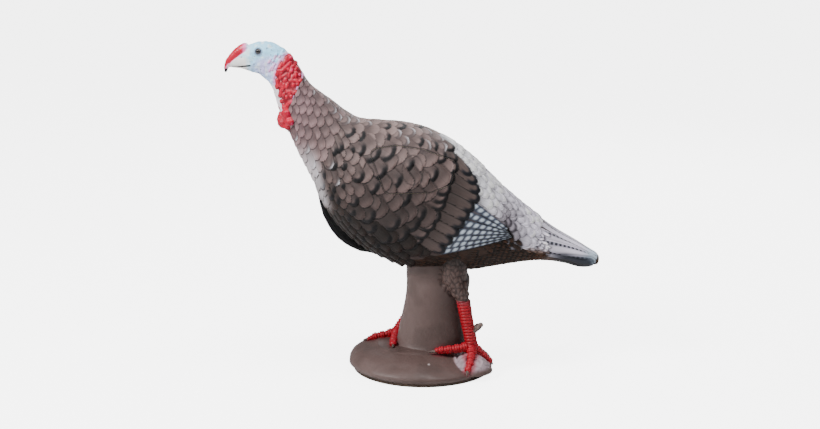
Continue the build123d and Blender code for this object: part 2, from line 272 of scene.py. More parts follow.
_rows = np.linspace(REACH[0] + 2, REACH[-1] - 2, 160)
_turns = np.linspace(0, math.pi, 60)
_coarse = surface(*np.meshgrid(_rows, _turns, indexing="ij"))
_net = BVHTree.FromPolygons(
    [Vector(p) for p in _coarse.reshape(-1, 3)],
    [(a + j, a + len(_turns) + j, a + len(_turns) + j + 1, a + j + 1)
     for a in range(0, (len(_rows) - 1) * len(_turns), len(_turns))
     for j in range(len(_turns) - 1)])


def on_left_side(x, z):
    """The point of the left side that stands at (x, z) seen from the side, and its normal."""
    place, normal, _, _ = _net.ray_cast(Vector((x, -400, z)), Vector((0, 1, 0)))
    if place is None:
        place, normal, _, _ = _net.find_nearest(Vector((x, -40, z)))
    normal = np.array(normal)
    return np.array(place), normal if normal[1] < 0 else -normal


def wing_rear(z):
    """x of the wing's rear edge at height z."""
    return np.interp(z, [284, 309, 347, 380, 423, 476, 530], [204, 183, 147, 116, 95, 61, 48])


def covert_rear(z):
    return np.interp(z, [287, 313, 347, 373, 401, 441, 474, 530], [-13, 9, 32, 42, 52, 69, 63, 46])


def wing_floor(x):
    """Height under which the flank's own feathers show below the wing."""
    return np.interp(x, [-20, 12, 60, 178], [292, 272, 244, 280])


def undertail_top(x):
    """Height on the side below which the plumage is dark and hairy."""
    return np.interp(x, [-60, 0, 45, 129, 158, 183, 222, 285, 372],
                     [225, 236, 250, 268, 282, 296, 270, 252, 222])


def feather(layer, s, tip, tailward, outward, width, length, pitch, **paint):
    """One feather: where its tip is, how it lies, its size, how far it shows, and its paint."""
    made = dict(layer=layer, s=s, tip=tip, along=tailward, out=outward, width=width,
                length=length, pitch=pitch, lift=1.9, base=0.0, colour=BROWN, light=0.05,
                black=0.0, white=0.0, bars=0.0, dashes=0.0, blunt=0.5, crease=0.62,
                tone=rng.normal(0, 0.045))
    made.update(paint)
    return made


def style_at(s, theta, p):
    """Layer, width, length, pitch, slant and paint of the plumage at one place."""
    x, z = p[0], p[2]
    side = math.sin(theta)
    if s > REACH[NECK_SEAM] - 4:                      # neck: bold scales on the side, faint on the nape
        f = smooth(REACH[NECK_SEAM], REACH[HEAD_SEAM - 1], s)
        bold = smooth(0.35, 1.1, theta)
        colour = BROWN + (NECK_PINK - BROWN) * (0.25 + 0.55 * f)
        colour = colour + (NECK_BROWN - colour) * 0.5 * (1 - bold)
        return 4, 29 - 7 * f, 42 - 8 * f, 18.5 - 3 * f, 0.22, dict(
            colour=colour, lift=0.8 + 2.1 * bold, crease=0.12 + 0.38 * bold, blunt=0.52)
    hairy = z < undertail_top(x) + (15 if 0 < x < 190 else 0)
    if x > wing_rear(z) and not hairy:         # rump and upper tail coverts
        back = smooth(60, 250, x)
        low = smooth(95, 15, z - undertail_top(x)) * smooth(235, 165, x)
        colour = RUMP_WHITE + (LILAC - RUMP_WHITE) * back
        colour = colour + (GREY_LILAC - colour) * low
        top = smooth(1.5, 0.9, theta)
        return 0, (30 - 9 * top) * rng.uniform(0.8, 1.15), 90, 25 + 5 * top, 0.22, dict(
            colour=colour, lift=4.6, light=0.0, blunt=0.75, crease=0.26 + 0.55 * low,
            black=2.6 * (low > 0.6), ink=rgb(78, 74, 82))
    if hairy and x > -30:
        dark = smooth(300, 200, x)
        return 0, rng.uniform(6, 10), rng.uniform(22, 34), 10.5, rng.normal(0.15, 0.4), dict(
            colour=HAIR * (1.35 - 0.45 * dark), lift=rng.uniform(1.2, 2.8), light=0.1, blunt=1.3,
            tone=rng.normal(0, 0.12), crease=0.8)
    under = smooth(1.95, 2.55, theta)
    colour = BROWN + (WING_BROWN - BROWN) * smooth(500, 380, z) * side
    colour = colour + (BELLY - colour) * np.clip(under + smooth(330, 255, z) * 0.85, 0, 1)
    # painted shade: the paint darkens towards the bottom of the body
    colour = colour * (1 - 0.3 * smooth(420, 320, z))
    if theta < 0.8:                            # mantle: nearly smooth, the paint does the work
        return 4, 34, 54, 23, 0.05, dict(colour=colour * 1.04, lift=1.2, crease=0.14, blunt=0.4)
    back = smooth(-150, -85, x) * smooth(2.6, 2.1, theta)
    smooth_top = smooth(430, 475, z) * back
    width, pitch = 21 + 23 * back, 17 + 2.5 * back
    if x < -165 and theta > 1.1:               # breast
        width, pitch = 23, 17
    lower = smooth(330, 270, z)
    return 4, width, 2.0 * pitch + 16, pitch, 0.26 + 0.16 * back, dict(
        colour=colour, lift=3.9 - 2.5 * smooth_top + 3.0 * lower,
        crease=0.84 - 0.42 * smooth_top + 0.12 * lower, blunt=0.52 - 0.2 * back)


def lay_rows():
    """The regular rows of the whole body, staggered like shingles."""
    made, s, odd = [], REACH[TAIL_SEAM] - 4.0, False
    while s < REACH[HEAD_SEAM] + 6:
        row_pitch = 30.0
        _, first, _, _, _, _ = style_at(s, 0.0, surface(s, 0.0))
        spread = np.linalg.norm(surface(s, 0.01) - surface(s, -0.01)) / 0.02
        theta = 0.5 * first / spread if odd else 0.0
        while theta < math.pi + 0.05:
            t = min(theta, math.pi)
            p = surface(s, t)
            layer, width, length, pitch, slant, paint = style_at(s, t, p)
            shift = rng.normal(0, 0.10 * pitch)
            width = width * rng.uniform(0.88, 1.14)
            tip = surface(s + shift, t)
            tailward, down, outward = directions(s, t)
            turn = slant * math.sin(t) + rng.normal(0, 0.11)
            along = unit(tailward * math.cos(turn) + down * math.sin(turn))
            inside_wing = tip[0] > covert_rear(tip[2]) - 9 and tip[0] < wing_rear(tip[2]) + 4
            if inside_wing and layer == 4:             # only below the wing, and tucked under it
                layer = UNDER_WING
            if layer != UNDER_WING or tip[2] < wing_floor(tip[0]):
                made.append(feather(layer, s, tip, along, outward, width, length, pitch, **paint))
            spread = np.linalg.norm(surface(s, t + 0.01) - surface(s, t - 0.01)) / 0.02
            theta += 0.94 * width / max(spread, 1.0)
            if t < 2.3:
                row_pitch = min(row_pitch, pitch)
        s += row_pitch
        odd = not odd
    return made


def lay_tail():
    """Long stiff tail feathers, dashed with black along their ribs, and a fringe of hair."""
    made = []
    for i in range(13):
        theta = math.pi * i / 12
        s = 2.0 + 5.0 * math.sin(theta) + rng.uniform(0, 3)
        tailward, down, outward = directions(s + 1, theta)
        dashed = 1.0 if i in (1, 2, 3, 4, 5) else 0.0
        low = smooth(2.1, 2.5, theta)
        colour = LILAC * 0.9 + (HAIR * 1.3 - LILAC * 0.9) * low
        made.append(feather(0, -20 + i % 2, surface(s, theta), tailward, outward, 17, 190, 170,
                            colour=colour, lift=2.6, dashes=dashed, blunt=0.9, crease=0.42,
                            light=0.0, tail=True))
    for _ in range(110):
        s = rng.uniform(REACH[TAIL_SEAM - 1] + 6, REACH[TAIL_SEAM] + 8)
        theta = rng.uniform(0.9, 3.1)
        tailward, down, outward = directions(s, theta)
        along = unit(tailward + down * rng.normal(0, 0.12))
        low = smooth(1.6, 2.1, theta)
        made.append(feather(0, -10 + 0.001 * s, surface(s, theta), along, outward, rng.uniform(4, 7),
                            rng.uniform(26, 40), 20, colour=LILAC * 0.98 + (HAIR * 1.4 - LILAC) * low,
                            lift=1.5, light=0.10, blunt=1.6, tone=rng.normal(0, 0.07), crease=0.4))
    return made


def lay_wing():
    """Primaries, secondaries, and the last row of coverts with its black edge."""
    made = []
    tip, out = on_left_side(*WING_TIP)
    for i, (x, z) in enumerate(reversed(PRIMARY_ROOTS)):
        root, _ = on_left_side(x, z)
        end = tip + np.array([-1.8 * (i - 3), 0, 2.6 * (i - 3)])
        along = unit(end - root)
        made.append(feather(1, i, end, unit(along - out * (along @ out)), out, 17,
                            np.linalg.norm(end - root) + 6, 200, colour=SPOT_GROUND, lift=1.8,
                            base=0.9, bars=1.0, blunt=1.0, light=0.0, fan=root, crease=0.9, tone=0))
    places = np.linspace(0, 6, 10)
    ends = [[tuple(np.interp(places, range(7), np.array(line)[:, k])) for k in (0, 1)]
            for line in (SECONDARY_ROOTS, SECONDARY_TIPS)]
    rows = list(zip(zip(*ends[0]), zip(*ends[1])))
    for i, (a, b) in enumerate(reversed(rows)):
        root, _ = on_left_side(*a)
        end, out = on_left_side(*b)
        along = unit(end - root)
        along = unit(along - out * (along @ out))
        made.append(feather(2, i, end, along, out, 25, np.linalg.norm(end - root) + 24, 60,
                            colour=SECONDARY, lift=3.0, base=1.3, black=6.5, blunt=0.6,
                            crease=0.85, ink=BLUE_BLACK))
    for i, (x, z) in enumerate(reversed(COVERT_EDGE)):
        end, out = on_left_side(x, z)
        along = np.array([0.86, 0, -0.51]) if z < 455 else np.array([0.95, 0, -0.3])
        along = unit(along - out * (along @ out))
        made.append(feather(3, i, end, along, out, 33, 50, 19, colour=WING_BROWN, lift=2.8,
                            base=2.0, black=6.0, crease=0.85))
    return made


def mark_tips(feathers, places, key, value):
    """Moves the nearest feather's tip to each painted place, and paints it."""
    open_ones = [f for f in feathers if f["layer"] in (3, 4)]
    tips = np.array([f["tip"] for f in open_ones])
    for x, z in places:
        place, _ = on_left_side(x, z)
        distance = np.linalg.norm(tips - place, axis=1)
        i = int(distance.argmin())
        if distance[i] < 17 and not open_ones[i].get("marked"):
            if open_ones[i]["layer"] == 4:
                open_ones[i]["tip"] = open_ones[i]["tip"] + 0.8 * (place - open_ones[i]["tip"])
            open_ones[i][key], open_ones[i]["marked"] = value, True


feathers = lay_rows() + lay_tail() + lay_wing()
mark_tips(feathers, BLACK_TIPS, "black", 7.5)
mark_tips(feathers, WHITE_TIPS, "white", 3.6)
feathers.sort(key=lambda f: (f["layer"], f["s"]))

SHADE_WAY = np.array([0.62, 0.0, -0.78])
CORE_OUTLINE = [(-111, 485), (-56, 493), (0, 484), (68, 457), (56, 416), (14, 402), (-77, 401)]
CORE_CORNER = 12
CORE_RING = (-22, 446, 21, 28)                 # the faint oval on the core: centre x, z, half-axes


def path_distance(x, z, path):
    best = np.full(np.shape(x), 1e9)
    for (ax, az), (bx, bz) in zip(path, path[1:]):
        length = (bx - ax) ** 2 + (bz - az) ** 2
        t = np.clip(((x - ax) * (bx - ax) + (z - az) * (bz - az)) / length, 0, 1)
        best = np.minimum(best, np.hypot(x - ax - t * (bx - ax), z - az - t * (bz - az)))
    return best


def raise_plumage(points, normals):
    """Height, colour, crease and vane lines that the feathers give to points of the body."""
    mirrored = points * [1, -1, 1]
    right = points[:, 1] > 0
    p = np.where(right[:, None], mirrored, points)
    n = np.where(right[:, None], normals * [1, -1, 1], normals)
    order = np.argsort(p[:, 0], kind="stable")
    p, n = p[order], n[order]
    count = len(p)
    height, crease = np.zeros(count), np.zeros(count)
    dark = p[:, 2] < np.where(p[:, 0] > -30, undertail_top(p[:, 0]) + 18, 300)
    colour = np.where(dark[:, None], HAIR, BROWN * 0.6)
    along_of, across_of = np.full(count, 20.0), np.zeros(count)
    for f in feathers:
        tip, length, half = f["tip"], f["length"], f["width"] / 2
        low, high = np.searchsorted(p[:, 0], [tip[0] - length - 6, tip[0] + length + 6])
        d = p[low:high] - tip
        side = np.cross(f["out"], f["along"])
        a, b, c = -(d @ f["along"]), d @ side, d @ f["out"]
        near = ((a > -4) & (a < length) & (np.abs(b) < half + 4) & (np.abs(c) < 0.4 * length + 8)
                & (n[low:high] @ f["out"] > 0.15))
        i = np.flatnonzero(near)
        if not len(i):
            continue
        a, b, i = a[i], b[i], i + low
        if "fan" in f:                          # narrower towards the wing's tip
            half = half * (0.25 + 0.75 * np.clip(a / length, 0, 1))
        blunt = f["blunt"] * f["width"]
        q = np.hypot(np.maximum(0, (blunt - a) / blunt), b / half)
        edge = (1 - q) * np.minimum(blunt, half)
        inside = edge > 0
        toward_b, toward_a = b / half, np.maximum(0, (blunt - a) / blunt)
        facing = (toward_b[:, None] * side + toward_a[:, None] * f["along"]) @ SHADE_WAY
        facing = facing / np.maximum(np.hypot(toward_a, toward_b), 0.2)
        shaded = smooth(-0.35, 0.55, facing)           # the side turned away from the light
        # painted shade in the groove just outside each feather's edge, deepest on the side turned away
        # from the light
        beside = ~inside & (a < 0.75 * length)
        j = i[beside]
        groove = smooth(-3.0, 0.0, edge[beside])
        crease[j] = np.maximum(crease[j], groove * f["crease"] * (0.3 + 0.7 * shaded[beside]))
        height[j] -= 0.7 * groove * smooth(0.0, 1.5, f["lift"])
        i, a, b, edge, shaded = i[inside], a[inside], b[inside], edge[inside], shaded[inside]
        half = half[inside] if isinstance(half, np.ndarray) else half
        fall = np.clip(a / length, 0, 1)
        pillow = 1 - 0.5 * (b / half) ** 2
        height[i] = (f["base"] + f["lift"] * (1 - fall ** 0.8) * pillow
                     - 0.5 * f["lift"] * smooth(5.5, 0.0, edge) ** 2)
        # painted shade: each feather darkens towards its root, under the feather that overlaps it; tone
        # is a random change per feather
        shade = 1.10 - 0.32 * smooth(0.2 * f["pitch"], 1.15 * f["pitch"], a) + f["tone"]
        shade = shade + f["light"] * smooth(0.2, 1.2, edge) * smooth(4.0, 2.0, edge)
        ink = f.get("ink", BLACK)
        c = f["colour"] * shade[:, None]
        front = smooth(blunt * 1.7, blunt * 0.8, a)
        if f["bars"]:
            row = (a + 4.0 + 0.5 * b + 3.0 * np.sin(f["s"] * 2.3)) / 14.5
            spot = np.sin(math.pi * (row % 1.0)) ** 1.2 * smooth(1.1, 0.1, np.abs(b) / half)
            c = blend(c, SPOT_WHITE, smooth(0.0, 0.9, spot) * 0.95)
        if f["dashes"]:
            rib = smooth(3.4, 1.4, np.abs(b - 3.5)) * smooth(6, 24, a) * smooth(136, 112, a)
            dash = 0.35 + 0.55 * smooth(-0.7, 0.3, np.sin(2 * math.pi * a / 9.5 + f["s"]))
            c = blend(c, BLUE_BLACK, rib * dash)
            height[i] += 0.5 * smooth(2.8, 1.0, np.abs(b - 1.5)) * smooth(140, 90, a)
        if f.get("tail"):
            c = blend(c, rgb(186, 206, 222), smooth(46, 6, a) * 0.9)
        # black and ink bands: the feathers' own paint, made stronger on the side turned away from the
        # light as painted shade (not on the secondaries)
        if f["black"]:
            band = smooth(f["black"] + 2.6, f["black"] - 2.6, edge) * front
            if f["layer"] != 2:
                band = band * (0.25 + 0.75 * shaded)
            c = blend(c, ink, band * 0.93)
        if f["white"]:
            band = smooth(f["white"] + 4.5, f["white"] + 1.5, edge) * front * 0.4 * shaded
            c = blend(c, ink, band)
            around = np.arctan2(toward_b[inside], toward_a[inside] + 0.01)
            arc = np.maximum(0, np.cos(around - 0.7)) ** 3
            band = smooth(f["white"] + 2.4, 0.4, edge) * front * arc
            c = blend(c, WHITE, 0.85 * band)
        colour[i], crease[i] = c, 0
        along_of[i], across_of[i] = a, b
    # the creases darken the paint: painted shade
    colour = colour * (1 - crease)[:, None]
    x, z = p[:, 0], p[:, 2]
    # The breast's front edge is painted paler, partly its feathers' own pale tips and partly a painted
    # highlight on the side turned to the key light; its creases get a deeper painted shade.
    u = x + 0.29 * (z - 440)
    bright = smooth(-199, -222, u) * smooth(335, 372, z) * smooth(505, 440, z)
    bright = bright * smooth(0.02, 0.07, colour.mean(1))          # the black edges stay black
    paler = 0.75 * bright * (1 - np.clip(crease * 2, 0, 1))
    colour = blend(colour, rgb(230, 224, 230), paler)
    colour = colour * (1 - 0.8 * bright * crease)[:, None]
    black = smooth(245, 300, x) * smooth(4, -10, z - np.interp(x, [240, 300, 372], [266, 259, 243]))
    colour = blend(colour, BLUE_BLACK, 0.85 * black * smooth(366, 345, x))
    # painted shade along the thin gap round the vital core, and a fainter dark oval on the core
    edge = [tuple(q) for q in rounded(CORE_OUTLINE, CORE_CORNER)]
    line = 0.62 * smooth(2.2, 0.3, path_distance(x, z, edge + edge[:1]))
    cx, cz, a, b = CORE_RING
    off = np.abs(np.hypot((x - cx) / a, (z - cz) / b) - 1) * 24
    line = np.maximum(line, 0.3 * smooth(1.8, 0.3, off)) * (z > 380)
    colour, crease = colour * (1 - line)[:, None], np.maximum(crease, line)
    back = np.empty(count, int)
    back[order] = np.arange(count)
    return height[back], colour[back], crease[back], along_of[back], across_of[back]


def body_casting(name, first, last, row_gap, columns):
    """A closed stretch of the body between two stations, with its plumage raised."""
    rows = max(2, int(round((REACH[last] - REACH[first]) / row_gap)) + 1)
    s = np.linspace(REACH[first], REACH[last], rows)
    theta = np.arange(columns) * 2 * math.pi / columns
    ss, tt = np.meshgrid(s, theta, indexing="ij")
    p = surface(ss, tt)
    out = directions(np.clip(ss, REACH[0] + 1.01, REACH[-1] - 1.01), tt)[2]
    height, colour, crease, along_of, across_of = raise_plumage(p.reshape(-1, 3), out.reshape(-1, 3))
    q = section(s)
    plane = unit(np.stack([q[:, 1] - q[:, 3], 0 * s, q[:, 2] - q[:, 0]], -1))   # the sections' normals
    near_end = np.minimum(np.arange(rows), np.arange(rows)[::-1])
    flatten = np.clip(1 - near_end / 4, 0, 1)[:, None, None]
    push = out - flatten * np.sum(out * plane[:, None, :], -1, keepdims=True) * plane[:, None, :]
    flat = p.reshape(-1, 3)
    in_plan = ((flat[:, 0] - 30) / 71) ** 2 + (flat[:, 1] / 56) ** 2 < 1
    for side in (-46, 46):
        in_plan |= np.hypot(flat[:, 0] - 64, flat[:, 1] - side) < 31
    height = np.where(in_plan & (flat[:, 2] < 275), 0, height)
    p = p + push * height.reshape(rows, columns, 1)
    made = make_object(name, p.reshape(-1, 3), grid_faces(rows, columns))
    made.data.shade_smooth()
    for kind, values in (("paint", colour), ("crease", crease), ("along", along_of),
                         ("across", across_of)):
        store(made.data, kind, values)
    return made


# ---- shapes made of balls, and noise -------------------------------------------------------
def ball_template(turns=12, rings=7):
    points, faces = [(0, 0, 1)], []
    for i in range(1, rings):
        polar = math.pi * i / rings
        points += [(math.sin(polar) * math.cos(2 * math.pi * j / turns),
                    math.sin(polar) * math.sin(2 * math.pi * j / turns), math.cos(polar))
                   for j in range(turns)]
    points.append((0, 0, -1))
    last = len(points) - 1
    for j in range(turns):
        k = (j + 1) % turns
        faces.append((0, 1 + j, 1 + k))
        for i in range(rings - 2):
            a, b = 1 + i * turns, 1 + (i + 1) * turns
            faces.append((a + j, b + j, b + k, a + k))
        faces.append((last, last - turns + k, last - turns + j))
    return np.array(points), faces


BALL, BALL_FACES = ball_template()


def join_balls(balls):
    """The points and faces of many balls, given as rows of x, y, z and radius."""
    points, faces = [], []
    for x, y, z, r in balls:
        start = len(points)
        points += (BALL * r + [x, y, z]).tolist()
        faces += [tuple(start + k for k in face) for face in BALL_FACES]
    return points, faces


def chain(points, step=0.35):
    """Balls strung closely along (x, y, z, radius) points."""
    balls = []
    for a, b in zip(points, points[1:]):
        a, b = np.array(a, float), np.array(b, float)
        count = max(1, int(np.linalg.norm(b[:3] - a[:3]) / (step * min(a[3], b[3]))))
        balls += [tuple(a + (b - a) * k / count) for k in range(count)]
    return balls + [tuple(points[-1])]


def voxel_copy(name, objects, size, smoothing=1):
    """One even skin over several closed objects, in squares of about size mm."""
    points, faces = [], []
    for o in objects:
        start = len(points)
        points += [tuple(v.co) for v in o.data.vertices]
        faces += [tuple(start + k for k in f.vertices) for f in o.data.polygons]
    made = make_object(name, points, faces, metres=True)
    remesh = made.modifiers.new("even", "REMESH")
    remesh.mode, remesh.voxel_size = "VOXEL", size * MM
    soft = made.modifiers.new("soft", "SMOOTH")
    soft.factor, soft.iterations = 0.5, smoothing
    apply_modifiers(made)
    made.data.shade_smooth()
    return made


def hash_noise(cell, seed):
    k = ((cell[..., 0] * 73856093) ^ (cell[..., 1] * 19349663) ^ (cell[..., 2] * 83492791)
         ^ (seed * 2654435))
    k = (k ^ (k >> 13)) * 1274126177 & 0x7FFFFFFF
    return ((k ^ (k >> 16)) & 0xFFFF) / 65535.0


def soft_noise(p, size, seed=1):
    """Smooth noise from -1 to 1 whose lumps are about size mm across."""
    q = p / size
    cell = np.floor(q).astype(np.int64)
    f = q - cell
    f = f * f * (3 - 2 * f)
    total = 0
    for dx in (0, 1):
        for dy in (0, 1):
            for dz in (0, 1):
                weight = (np.abs(1 - dx - f[:, 0]) * np.abs(1 - dy - f[:, 1]) * np.abs(1 - dz - f[:, 2]))
                total = total + weight * hash_noise(cell + [dx, dy, dz], seed)
    return total * 2 - 1


def cells(p, size, seed=1):
    """Distance to the edge of the nearest random cell, 0 on the edge, in shares of size."""
    q = p / size
    base = np.floor(q).astype(np.int64)
    near, second = np.full(len(p), 9.0), np.full(len(p), 9.0)
    for dx in (-1, 0, 1):
        for dy in (-1, 0, 1):
            for dz in (-1, 0, 1):
                c = base + [dx, dy, dz]
                spot = c + 0.5 + 0.7 * (np.stack([hash_noise(c, seed + k) for k in range(3)], -1) - 0.5)
                d = np.linalg.norm(q - spot, axis=1)
                second = np.minimum(second, np.maximum(near, d))
                near = np.minimum(near, d)
    return second - near


def limb_place(p, limb):
    """Distance along a limb of (x, y, z, r) points from its first one, and out from its middle."""
    best, along, start = np.full(len(p), 1e9), np.zeros(len(p)), 0.0
    for a, b in zip(limb, limb[1:]):
        a, b = np.array(a[:3], float), np.array(b[:3], float)
        length = np.linalg.norm(b - a)
        t = np.clip((p - a) @ (b - a) / length**2, 0, 1)
        d = np.linalg.norm(p - a - t[:, None] * (b - a), axis=1)
        closer = d < best
        best = np.where(closer, d, best)
        along = np.where(closer, start + t * length, along)
        start += length
    return along, best


# ---- materials -----------------------------------------------------------------------------
class Material:
    """A short way to write a node material on a principled shader."""

    def __init__(self, name):
        self.made = bpy.data.materials.new(name)
        self.made.use_nodes = True
        self.tree = self.made.node_tree
        self.shader = self.tree.nodes["Principled BSDF"]
        self.place = self.node("ShaderNodeTexCoord").outputs["Object"]

    def node(self, kind, **inputs):
        made = self.tree.nodes.new(kind)
        for name, value in inputs.items():
            self.put(made.inputs[name.replace("_", " ")], value)
        return made

    def put(self, socket, value):
        if isinstance(value, bpy.types.NodeSocket):
            self.tree.links.new(value, socket)
        else:
            socket.default_value = value

    def set(self, **inputs):
        for name, value in inputs.items():
            self.put(self.shader.inputs[name.replace("_", " ")], value)

    def stored(self, name, colour=False):
        made = self.node("ShaderNodeAttribute")
        made.attribute_name = name
        return made.outputs["Color" if colour else "Fac"]

    def noise(self, scale, detail=4.0, roughness=0.55, distortion=0.0, place=None):
        made = self.node("ShaderNodeTexNoise", Vector=place or self.place, Scale=scale,
                         Detail=detail, Roughness=roughness, Distortion=distortion)
        return made.outputs["Fac"]

    def cell(self, scale, feature="F1"):
        made = self.node("ShaderNodeTexVoronoi", Vector=self.place, Scale=scale)
        made.feature = feature
        return made.outputs["Distance"]

    def axes(self):
        """The x, y and z of the point being shaded, in m."""
        return self.node("ShaderNodeSeparateXYZ", Vector=self.place).outputs

    def sum(self, operation, a, b=0.0):
        """One step of arithmetic; operation is the name of a Math node's operation."""
        made = self.tree.nodes.new("ShaderNodeMath")
        made.operation = operation
        self.put(made.inputs[0], a)
        self.put(made.inputs[1], b)
        return made.outputs[0]

    def between(self, value, low, high, to_low=0.0, to_high=1.0):
        """Maps low to high onto to_low to to_high, and stays there outside."""
        made = self.node("ShaderNodeMapRange", Value=value, From_Min=low, From_Max=high,
                         To_Min=to_low, To_Max=to_high)
        return made.outputs["Result"]

    def graded(self, share, colour, red, green, blue):
        """The colour, with a share of it multiplied by the three factors."""
        other = self.mix(1.0, colour, (red, green, blue, 1), "MULTIPLY")
        return self.mix(share, colour, other)

    def mix(self, share, a, b, how="MIX"):
        made = self.tree.nodes.new("ShaderNodeMix")
        made.data_type, made.blend_type = "RGBA", how
        self.put(made.inputs[0], share)
        self.put(made.inputs[6], a)
        self.put(made.inputs[7], b)
        return made.outputs[2]

    def stretch(self, x, y, z):
        """The place scaled along each axis, which stretches a texture along the small ones."""
        return self.node("ShaderNodeMapping", Vector=self.place, Scale=(x, y, z)).outputs["Vector"]

    def bump(self, height, strength, distance, under=None):
        made = self.node("ShaderNodeBump", Height=height, Strength=strength, Distance=distance)
        if under is not None:
            self.put(made.inputs["Normal"], under)
        return made.outputs["Normal"]


def paint_colour(r, g, b):
    return (*linear(rgb(r, g, b)), 1.0)


VANE_LINE = 1.7       # mm between the fine lines of a feather


def plumage_material():
    """Satin paint over moulded foam, with vane lines pressed into every feather."""
    m = Material("plumage paint")
    paint, crease = m.stored("paint", True), m.stored("crease")
    along, across = m.stored("along"), m.stored("across")
    lines = m.sum("ADD", m.sum("ABSOLUTE", across), m.sum("MULTIPLY", along, 0.8))
    lines = m.sum("SINE", m.sum("MULTIPLY", lines, 2 * math.pi / VANE_LINE))
    shaft = m.between(m.sum("ABSOLUTE", across), 0.35, 0.9, 1.0, 0.0)
    large, fine = m.noise(22, 5), m.noise(420, 3)
    speck = m.noise(170, 4, 0.7)
    colour = m.graded(m.between(large, 0.35, 0.7, 0.0, 0.28), paint, 1.16, 1.12, 1.1)
    colour = m.graded(m.between(lines, -1, 1, 0.0, 0.10), colour, 0.6, 0.6, 0.6)
    colour = m.graded(m.between(speck, 0.62, 0.74, 0.0, 0.22), colour, 1.35, 1.32, 1.3)
    colour = m.mix(m.sum("MULTIPLY", shaft, 0.15), colour, (0.02, 0.015, 0.015, 1))
    rough = m.sum("ADD", m.between(fine, 0.3, 0.7, 0.46, 0.62), m.sum("MULTIPLY", crease, 0.15))
    normal = m.bump(lines, 0.35, 0.0003)
    normal = m.bump(shaft, 0.3, -0.0004, normal)
    normal = m.bump(fine, 0.25, 0.0003, normal)
    m.set(Base_Color=colour, Roughness=rough, Normal=normal)
    m.shader.inputs["Specular IOR Level"].default_value = 0.28
    return m.made


def foam_material():
    """The bare foam inside, where a casting is cut: pale, with small round cells."""
    m = Material("cut foam")
    pores, lump = m.cell(520), m.noise(60, 4)
    colour = m.mix(m.between(pores, 0.0, 0.35), paint_colour(96, 88, 74),
                   paint_colour(176, 164, 140))
    colour = m.mix(m.between(lump, 0.35, 0.65, 0.0, 0.35), colour, paint_colour(142, 128, 104))
    normal = m.bump(pores, 0.6, 0.0006)
    m.set(Base_Color=colour, Roughness=0.92, Normal=m.bump(lump, 0.3, 0.001, normal))
    return m.made


def skin_material():
    """Painted head: matt blue and white, wet-looking where it is red."""
    m = Material("head paint")
    paint, wet, crease = m.stored("paint", True), m.stored("wet"), m.stored("crease")
    fine, large, vein = m.noise(560, 4, 0.6), m.noise(70, 5), m.cell(330, "DISTANCE_TO_EDGE")
    colour = m.graded(m.between(large, 0.4, 0.66, 0.0, 0.24), paint, 0.86, 0.82, 0.9)
    colour = m.mix(m.between(fine, 0.6, 0.75, 0.0, 0.25), colour, (0.9, 0.9, 0.92, 1))
    colour = m.graded(m.between(vein, 0.0, 0.06, 0.20, 0.0), colour, 0.5, 0.35, 0.42)
    # painted shade: darker by the crease attribute, in the grooves between the caruncles and in the pits
    colour = m.graded(m.sum("MULTIPLY", crease, 0.35), colour, 0.28, 0.12, 0.15)
    rough = m.between(wet, 0.0, 1.0, 0.55, 0.42)
    normal = m.bump(vein, 0.35, 0.0004)
    normal = m.bump(fine, 0.3, 0.0003, normal)
    rough = m.sum("ADD", rough, m.between(fine, 0.3, 0.7, -0.05, 0.05))
    m.set(Base_Color=colour, Roughness=rough, Normal=normal)
    m.shader.inputs["Specular IOR Level"].default_value = 0.32
    m.put(m.shader.inputs["Coat Weight"], m.sum("MULTIPLY", wet, 0.12))
    m.shader.inputs["Coat Roughness"].default_value = 0.22
    return m.made


def leg_material():
    """Glossy red paint over scaled legs, with painted shade in the grooves."""
    m = Material("leg paint")
    paint, groove = m.stored("paint", True), m.stored("crease")
    fine, large = m.noise(480, 4), m.noise(90, 4)
    # painted shade: darker by the groove attribute
    colour = m.graded(m.sum("MULTIPLY", groove, 0.65), paint, 0.3, 0.08, 0.1)
    colour = m.graded(m.between(large, 0.45, 0.7, 0.0, 0.3), colour, 0.8, 0.7, 0.8)
    normal = m.bump(fine, 0.2, 0.0002)
    m.set(Base_Color=colour, Roughness=m.between(fine, 0.3, 0.7, 0.42, 0.55), Normal=normal)
    m.shader.inputs["Specular IOR Level"].default_value = 0.35
    m.shader.inputs["Coat Weight"].default_value = 0.1
    m.shader.inputs["Coat Roughness"].default_value = 0.2
    return m.made


def horn_material(name, light, dark, scale=260):
    """Claws and spurs: streaked horn with small pale flecks."""
    m = Material(name)
    streak = m.noise(scale, 5, 0.6, 0.4, m.stretch(1.0, 1.0, 0.35))
    fine = m.noise(900, 3)
    colour = m.mix(m.between(streak, 0.35, 0.65), dark, light)
    colour = m.graded(m.between(fine, 0.55, 0.75, 0.0, 0.3), colour, 1.3, 1.3, 1.3)
    m.set(Base_Color=colour, Roughness=m.between(fine, 0.3, 0.7, 0.38, 0.55),
          Normal=m.bump(fine, 0.3, 0.0002, m.bump(streak, 0.5, 0.0006)))
    return m.made


